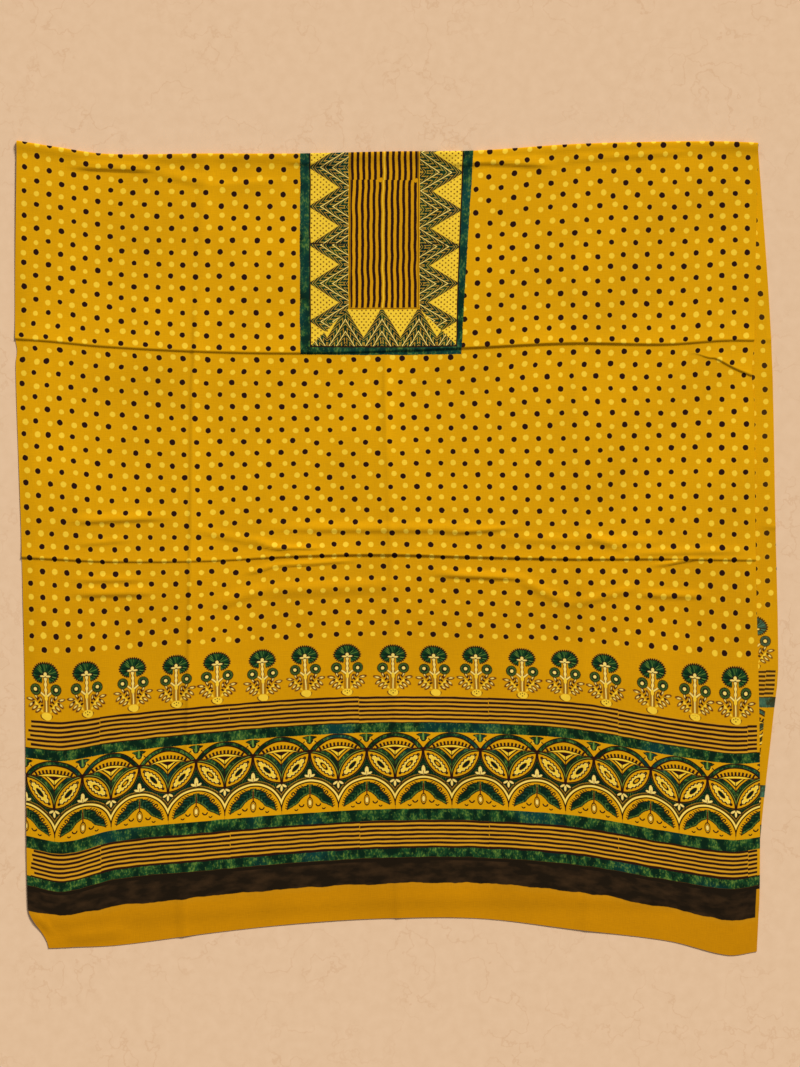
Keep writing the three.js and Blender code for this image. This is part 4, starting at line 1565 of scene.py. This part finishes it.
# %% Arches: upper arches and the whole band
UPPER_RING, UPPER_GREEN_RING = (-1, 7.8), (1.7, 5.7)
TULIP_SIDE = [
    (1, 3), (2, 8), (3.2, 11.2), (4.2, 10.4), (6, 7.2), (7.4, 4.6), (8.8, 5.8), (10.6, 4.6),
    (13.2, 3), (14, 0),
]
TULIP_STALK, TULIP_SEED = (1.1, 0.5, 11.5), ((8.6, 10.6), (2.6, 0.8), 42)
TULIP_SPAN, TULIP_SHARE = (1.2, 14.8), 0.7  # share: as for the fork of a stem
TULIP_LIP, TULIP_LIP_OUT = (8.0, 12.5), 1.0
JOINT_KNOT = ((0, SPRING + 0.8), (7.0, 2.0))
JOINT_LINE = (0.9, SPRING, SPRING + 16)
BACK_MARGIN = 13  # on the back the arches stop this far from the right selvedge


def upper_arches(band, at):
    """Closes the chain with the upper arches and the tulips between them."""
    up = -outside(at.crest, UPPER_ARCH)
    high = at.e - SPRING
    band.put(BLACK_BROWN, most(high, within(up, *UPPER_RING)))
    band.put(at.green, most(high, within(up, *UPPER_GREEN_RING)))
    band.put(GOLDEN, most(high, up))
    aside = (at.j - chart(at.e + at.grain, TULIP_SIDE)) * TULIP_SHARE
    tulip = most(aside, within(at.e, *TULIP_SPAN), up)
    band.put(YELLOW, most(tulip - TULIP_LIP_OUT, within(at.e, *TULIP_LIP)), soft=1.0)
    band.rings(tulip, (BLACK_BROWN, 0), (at.green, 1.3, 1.2))
    band.put(MOSS, slit(at.j, at.e, *TULIP_STALK), soft=1.0)
    band.put(BLACK_BROWN, most(oval(at.joint, *TULIP_SEED), up))
    band.put(BLACK_BROWN, oval(at.joint, *JOINT_KNOT))
    band.put(BLACK_BROWN, slit(at.j, at.e, *JOINT_LINE))


def arch_band(across, down, along):
    """The chain of arches with its green edges."""
    at = from_crest(across, down)
    band = Print(GOLDEN)
    for print_forms in (ground_and_domes, fronds_and_buds, leaves, fans, upper_arches):
        print_forms(band, at)
    band.put(DEEP_MUSTARD, most(PRINTS_MEET - along, WIDTH - BACK_MARGIN - across), soft=1.5)
    band.put(at.green, ARCH_BOTTOM - at.e)
    band.put(at.green, at.e + at.grain)
    return band.colour


cloth_material(arch_band)

# %% [markdown]
# The neck panel is printed for cutting out the neckline. Stripes run down its middle, and beside
# them yellow teeth with rows of small dots point in from a green frame. Between the teeth lie green
# herringbone strokes with cream chevrons. The row of teeth along the bottom is the same drawing,
# turned by a quarter, and the two meet on a slant in the corners. This step measures a place on the
# panel in that way, so the teeth need to be drawn only once.

# %% Neck panel: the place in a row of teeth
PANEL_LEFT, PANEL_MIDDLE, PANEL_BOTTOM = 424.0, 551.0, 881.7
PANEL_TURN = 0.031  # the whole panel is printed a little out of true: how far, as a slope
INNER_EDGE = (0.0177, 109.8)  # the frame's inside: growth upwards, and half width at the bottom
FIELD_HALF, FIELD_BOTTOM = 50.8, 70.7
TOOTH_DEEP, TOOTH_HALF = 44.2, 27.5
FIRST_TOOTH, TOOTH_STEP = 79.0, 56.6
RIGHT_STEP = -1.3  # how the step on the right differs
LOW_MIDDLE, LOW_STEP = -2.5, 54.7
CORNER_GAP, CORNER_SOFT = 1.2, 0.2  # where the low row meets the side rows
BLUER, BLUER_EDGES, BLUER_SHARE = 0.02, (0.2, 0.7), 0.3  # the panel's green is a little bluer


def on_panel(across, along):
    """The place on the panel: sideways, upwards, into the row of teeth and along it."""
    x = across - PANEL_MIDDLE
    up = along + (across - PANEL_LEFT) * PANEL_TURN - PANEL_BOTTOM
    right, aside = x.do("GREATER_THAN", 0.0), abs(x)
    inside = up.times_plus(*INNER_EDGE) - aside
    run_side = ((up - FIRST_TOOTH) / right.times_plus(RIGHT_STEP, TOOTH_STEP)) * TOOTH_STEP
    depth_low = FIELD_BOTTOM - up
    run_low = (x - LOW_MIDDLE) * (TOOTH_STEP / LOW_STEP) + TOOTH_STEP / 2
    beside_low = aside - FIELD_HALF - CORNER_GAP - depth_low
    low = ink(most(-depth_low, beside_low), CORNER_SOFT)
    tinge = noise(point(across, along), BLUER).ramp(*BLUER_EDGES) * BLUER_SHARE
    return SimpleNamespace(
        x=x, up=up, right=right, aside=aside, inside=inside,
        depth=inside + (depth_low - inside) * low,
        run=run_side + (run_low - run_side) * low,
        green=paint(green_dye(across, along), tinge, TEAL),
        grain=uneven(point(across, along), scale=0.4, detail=1, swing=0.7),
    )


print("The panel leans by", round(math.degrees(PANEL_TURN), 1), "degrees")

# %% [markdown]
# A tooth is a triangle, measured by how deep a place is in the row and how far it is from the
# tooth's middle. Beside it, the same two numbers give the chevrons, and a slanting sine the strokes
# of the herringbone.

# %% Neck panel: teeth and chevrons
CHEVRONS, CHEVRON_HALF, CHEVRON_EDGE = (16.8, 35.0), 1.2, 2.3
STROKE_SLANT = (0.85, 0.9)  # how the strokes count depth, and distance from the tooth's edge
STROKE_DARK, STROKE_PALE, PALE_SHARE = (-0.9, -0.1), (0.45, 0.95), 0.8
TOOTH_RIM, TOOTH_DOT, DOTS_FREE, DOTS_UP = 0.7, 1.1, 1.4, 1.0  # free: from the tooth's outline
TOOTH_DOTS = {"Step_across": 8.8, "Step_down": 7.2, "Jitter": 0.7, "Jog": 0.0}
PANEL_JOIN, JOIN_HALF = 166.0, 0.7  # the height where one print of the block meets the next


def teeth_and_chevrons(at):
    """The panel's lowest layer: herringbone, chevrons and teeth."""
    to_tooth = at.run.do("PINGPONG", TOOTH_STEP / 2)
    tooth = to_tooth - (TOOTH_DEEP - at.depth) * (TOOTH_HALF / TOOTH_DEEP)
    inner = at.depth - (TOOTH_STEP / 2 - to_tooth) * (TOOTH_DEEP / TOOTH_HALF)
    aside = inner.do("PINGPONG", CHEVRONS[0] / 2)
    slant = at.depth * STROKE_SLANT[0] + aside * STROKE_SLANT[1]
    strokes = (slant + at.grain * 1.5).do("SINE")
    panel = Print(paint(DARK_GREEN, strokes.ramp(*STROKE_DARK), at.green))
    panel.tint(PALE_TAN, (strokes + at.grain * 0.3).ramp(*STROKE_PALE) * PALE_SHARE)
    for middle in CHEVRONS:
        panel.put(DARK_GREEN, within(inner, middle - CHEVRON_EDGE, middle + CHEVRON_EDGE))
        panel.put(CREAM, within(inner + at.grain, middle - CHEVRON_HALF, middle + CHEVRON_HALF))
    panel.put(BROWN, tooth - TOOTH_RIM, soft=0.8)
    panel.put(YELLOW, tooth + at.grain * 0.4, soft=0.8)
    dot, _ = dots(at.depth + DOTS_UP, to_tooth, **TOOTH_DOTS)
    panel.put(BROWN, most(dot - TOOTH_DOT, tooth + DOTS_FREE), soft=1.2)
    join = within(at.up + at.grain, PANEL_JOIN - JOIN_HALF, PANEL_JOIN + JOIN_HALF)
    panel.tint(BLACK_BROWN, ink(most(join, -at.inside)))
    return panel


print("A tooth is", TOOTH_DEEP, "mm deep and", 2 * TOOTH_HALF, "mm wide")

# %% [markdown]
# The striped field lies over the teeth. Its lines drift a little to one side and break where two
# prints of the block meet, so the drift, a slow wave and a step are added before the lines are
# counted.

# %% Neck panel: striped field
FIELD_LEAN = (-0.0151, 1.4)  # the field's middle: drift upwards, and place at the bottom
FIRST_STRIPE, FIELD_STEP, FIELD_STRIPE = 4.9, 8.6, 2.15
OUTER_STRIPE = FIRST_STRIPE + 5 * FIELD_STEP
STRIPE_BREAK, BREAK, BREAK_SHIFT = 260.0, 3.2, 1.5  # where the stripes break, and how much
STRIPE_SWING = 1.7
FIELD_RIMS = [(MUSTARD, -2.4), (BLACK_BROWN, -0.9), (FIELD_GOLD, 0)]
PALE_HALF, MIDDLE_FREE, RIM_FREE = 0.7, 2.5, 0.6  # the pale line down the middle, and free ground


def striped_field(panel, at, across, along):
    """Lays the striped field over the teeth."""
    lean = at.x - at.up.times_plus(*FIELD_LEAN)
    field = most(abs(lean) - FIELD_HALF, FIELD_BOTTOM - at.up)
    panel.rings(field, *FIELD_RIMS)
    swing = stretched(point(across, along), across=0.004, along=0.025, detail=2)
    swing = swing.times_plus(2 * STRIPE_SWING, -STRIPE_SWING)
    lane = lean + swing + (at.up - STRIPE_BREAK).do("LESS_THAN", 0.0) * BREAK_SHIFT
    stripes = (abs(lane) - FIRST_STRIPE).do("PINGPONG", FIELD_STEP / 2)
    in_middle = FIRST_STRIPE - MIDDLE_FREE - abs(lane)
    stripes = most(stripes - FIELD_STRIPE + at.grain * 0.4, in_middle)
    panel.put(BLACK_BROWN, most(stripes, field + RIM_FREE))
    panel.put(YELLOW, most(abs(lane) - PALE_HALF, field))
    broken = [(edge, STRIPE_BREAK) for edge in (-FIRST_STRIPE, OUTER_STRIPE)]
    breaks = least(*[far(point(lane, at.up), place) for place in broken]) - BREAK
    panel.put(FIELD_GOLD, most(breaks, field))


print("The field is", 2 * FIELD_HALF, "mm wide and its stripes stand", FIELD_STEP, "mm apart")

# %% [markdown]
# The frame goes round both. It is wider at the top than at the bottom, by another slope on each
# side. The frame's outer edge is a distance again, so it also cuts the whole panel out of the
# dotted ground.

# %% Neck panel: frame and whole panel
PANEL_HEIGHT, FRAME_FOOT, FRAME_RIM = 338.0, 11.3, 2.0
OUTER_LEFT, OUTER_RIGHT = (0.0138, 124.5), (0.0436, 116.4)  # growth upwards, half width


def neck_panel(across, down, along):
    """The panel, cut out of the dotted ground."""
    ground = dotted_ground(across, down, along)
    at = on_panel(across, along)
    panel = teeth_and_chevrons(at)
    striped_field(panel, at, across, along)
    (left_growth, left_half), (right_growth, right_half) = OUTER_LEFT, OUTER_RIGHT
    growth = at.right.times_plus(right_growth - left_growth, left_growth)
    half = at.right.times_plus(right_half - left_half, left_half)
    outer = most(at.aside - at.up * growth - half, -at.up, at.up - PANEL_HEIGHT)
    frame_edge = least(at.inside, at.up - FRAME_FOOT, PANEL_HEIGHT - FRAME_FOOT - at.up)
    panel.put(BLACK_BROWN, frame_edge - FRAME_RIM)
    panel.put(at.green, frame_edge + at.grain * 0.5)
    return paint(ground, ink(outer + at.grain), panel.colour)


cloth_material(neck_panel)

# %% [markdown]
# The zones are now handed to the faces. A face's own place on the cloth says which zone it is in,
# and the back half is measured from its own end, as in the print.

# %% Give each face its zone
slots = [material.name for material in materials]
for material in materials:
    mesh.materials.append(material)
middle_across = (across[:-1] + across[1:]) / 2
middle_along = (along_cloth[:-1] + along_cloth[1:]) / 2
grid_across, grid_along = np.meshgrid(middle_across, middle_along)
from_end = np.minimum(grid_along, BACK_END - grid_along)
zone = np.full(grid_along.shape, slots.index("dotted_ground"))
zone_names = ["plain_end", "striped_bands", "arch_band", "striped_bands", "plant_row"]
for upper, name in reversed(list(zip(ZONE_ALONG, zone_names))):
    zone[from_end < upper] = slots.index(name)
inside = (grid_across > PANEL_ACROSS[0]) & (grid_across < PANEL_ACROSS[1])
inside &= (grid_along > ZONE_ALONG[-1]) & (grid_along < PANEL_END)
zone[inside] = slots.index("neck_panel")
rims = [zone[0], zone[-1][::-1], zone[:, 0][::-1], zone[:, -1]]
zones = np.concatenate([zone.ravel(), zone.ravel(), *rims]).astype(np.int32)
mesh.polygons.foreach_set("material_index", zones)
mesh.update()
print({name: int((zone == k).sum()) for k, name in enumerate(slots)})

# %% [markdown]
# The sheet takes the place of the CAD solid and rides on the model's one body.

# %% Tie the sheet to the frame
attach(cloth, "root")
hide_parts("cloth")
print(cloth.name, "rides on root and stands for the CAD's cloth")

# %% [markdown]
# The cloth lies on a plain, warm, pale table top. A slight unevenness in the tone keeps it from
# looking like an empty background.

# %% Table top
TABLE_SIZE, TABLE_DEPTH = 8.0, 0.0004
TABLE_LIGHT, TABLE_DEEP, FIBRE = dye(228, 193, 158), dye(219, 183, 147), dye(205, 163, 125)
TABLE_ROUGHNESS, TABLE_GLOSS = 0.95, 0.1
TONES, FIBRES, TUFTS = 60, 22, 9  # how often each of them changes in a metre
FIBRE_HALF, FIBRE_SHARE, TUFT_EDGES = 0.022, 0.45, (0.4, 0.65)
bpy.ops.mesh.primitive_plane_add(size=TABLE_SIZE, location=(0, 0, -TABLE_DEPTH))
floor = bpy.context.object
floor.name = "table_top"
paper = bpy.data.materials.new("table_paper")
paper.use_nodes = True
tree = paper.node_tree
shader = tree.nodes["Principled BSDF"]
shader.inputs["Roughness"].default_value = TABLE_ROUGHNESS
shader.inputs["Specular IOR Level"].default_value = TABLE_GLOSS
spot = out_of(tree, "TexCoord", {}, "Object")
tone = paint(TABLE_DEEP, noise(spot, TONES, detail=3), TABLE_LIGHT)
fibres = abs(noise(spot, FIBRES, detail=4) - 0.5).ramp(FIBRE_HALF, 0.0) * FIBRE_SHARE
tone = paint(tone, fibres * noise(spot, TUFTS).ramp(*TUFT_EDGES), FIBRE)
connect(tree, tone, shader.inputs["Base Color"])
floor.data.materials.append(paper)
print("Table top", TABLE_SIZE, "m wide")

# %% [markdown]
# The photograph was taken from straight above. A camera three metres up with a moderate lens keeps
# the edges of the cloth straight, and its place is set so that the picture has the same margins.

# %% Camera
PIXEL = 1.5  # millimetres of cloth in one pixel of the photograph
IMAGE = (800, 1067)
FOOTPRINT_MIDDLE = (396.75, 548.0)  # pixels
CAMERA_HEIGHT = 3.0
FILM = 36.0  # millimetres
camera_data = bpy.data.cameras.new("overhead")
camera = bpy.data.objects.new("overhead", camera_data)
bpy.context.scene.collection.objects.link(camera)
camera.location = (
    ((IMAGE[0] / 2 - FOOTPRINT_MIDDLE[0]) * PIXEL + RECENTRE[0]) * MM,
    ((FOOTPRINT_MIDDLE[1] - IMAGE[1] / 2) * PIXEL + RECENTRE[1]) * MM,
    CAMERA_HEIGHT,
)
camera_data.sensor_width = FILM
camera_data.sensor_fit = "AUTO"
camera_data.lens = FILM * CAMERA_HEIGHT / (IMAGE[1] * PIXEL * MM)
bpy.context.scene.camera = camera
print("Lens", round(camera_data.lens, 2), "mm")

# %% [markdown]
# The light is soft and comes from behind the fold, so each crease is lit above and dark below. A
# sun with a wide disc gives the direction without getting weaker across the table, and an even,
# bright surround fills the shadows.

# %% Light
SUN_HEIGHT = math.radians(34)
SUN_SIDE = math.radians(34)  # to the right of straight behind the fold
SUN_WIDE, SUN_STRENGTH, ROOM_STRENGTH = math.radians(16), 4.15, 0.26
SUN_COLOUR, ROOM_COLOUR = (1.0, 0.985, 0.96), (1.0, 0.99, 0.97, 1)
sun_data = bpy.data.lights.new("tall_window", "SUN")
sun_data.energy, sun_data.angle, sun_data.color = SUN_STRENGTH, SUN_WIDE, SUN_COLOUR
sun = bpy.data.objects.new("tall_window", sun_data)
bpy.context.scene.collection.objects.link(sun)
sun.rotation_euler = (SUN_HEIGHT - math.pi / 2, 0, -SUN_SIDE)
world = bpy.data.worlds.new("even_room")
world.use_nodes = True
room = world.node_tree.nodes["Background"]
room.inputs["Color"].default_value = ROOM_COLOUR
room.inputs["Strength"].default_value = ROOM_STRENGTH
bpy.context.scene.world = world
bpy.context.scene.view_settings.view_transform = "Standard"
print("Sun", SUN_STRENGTH, "and room", ROOM_STRENGTH)

# %% [markdown]
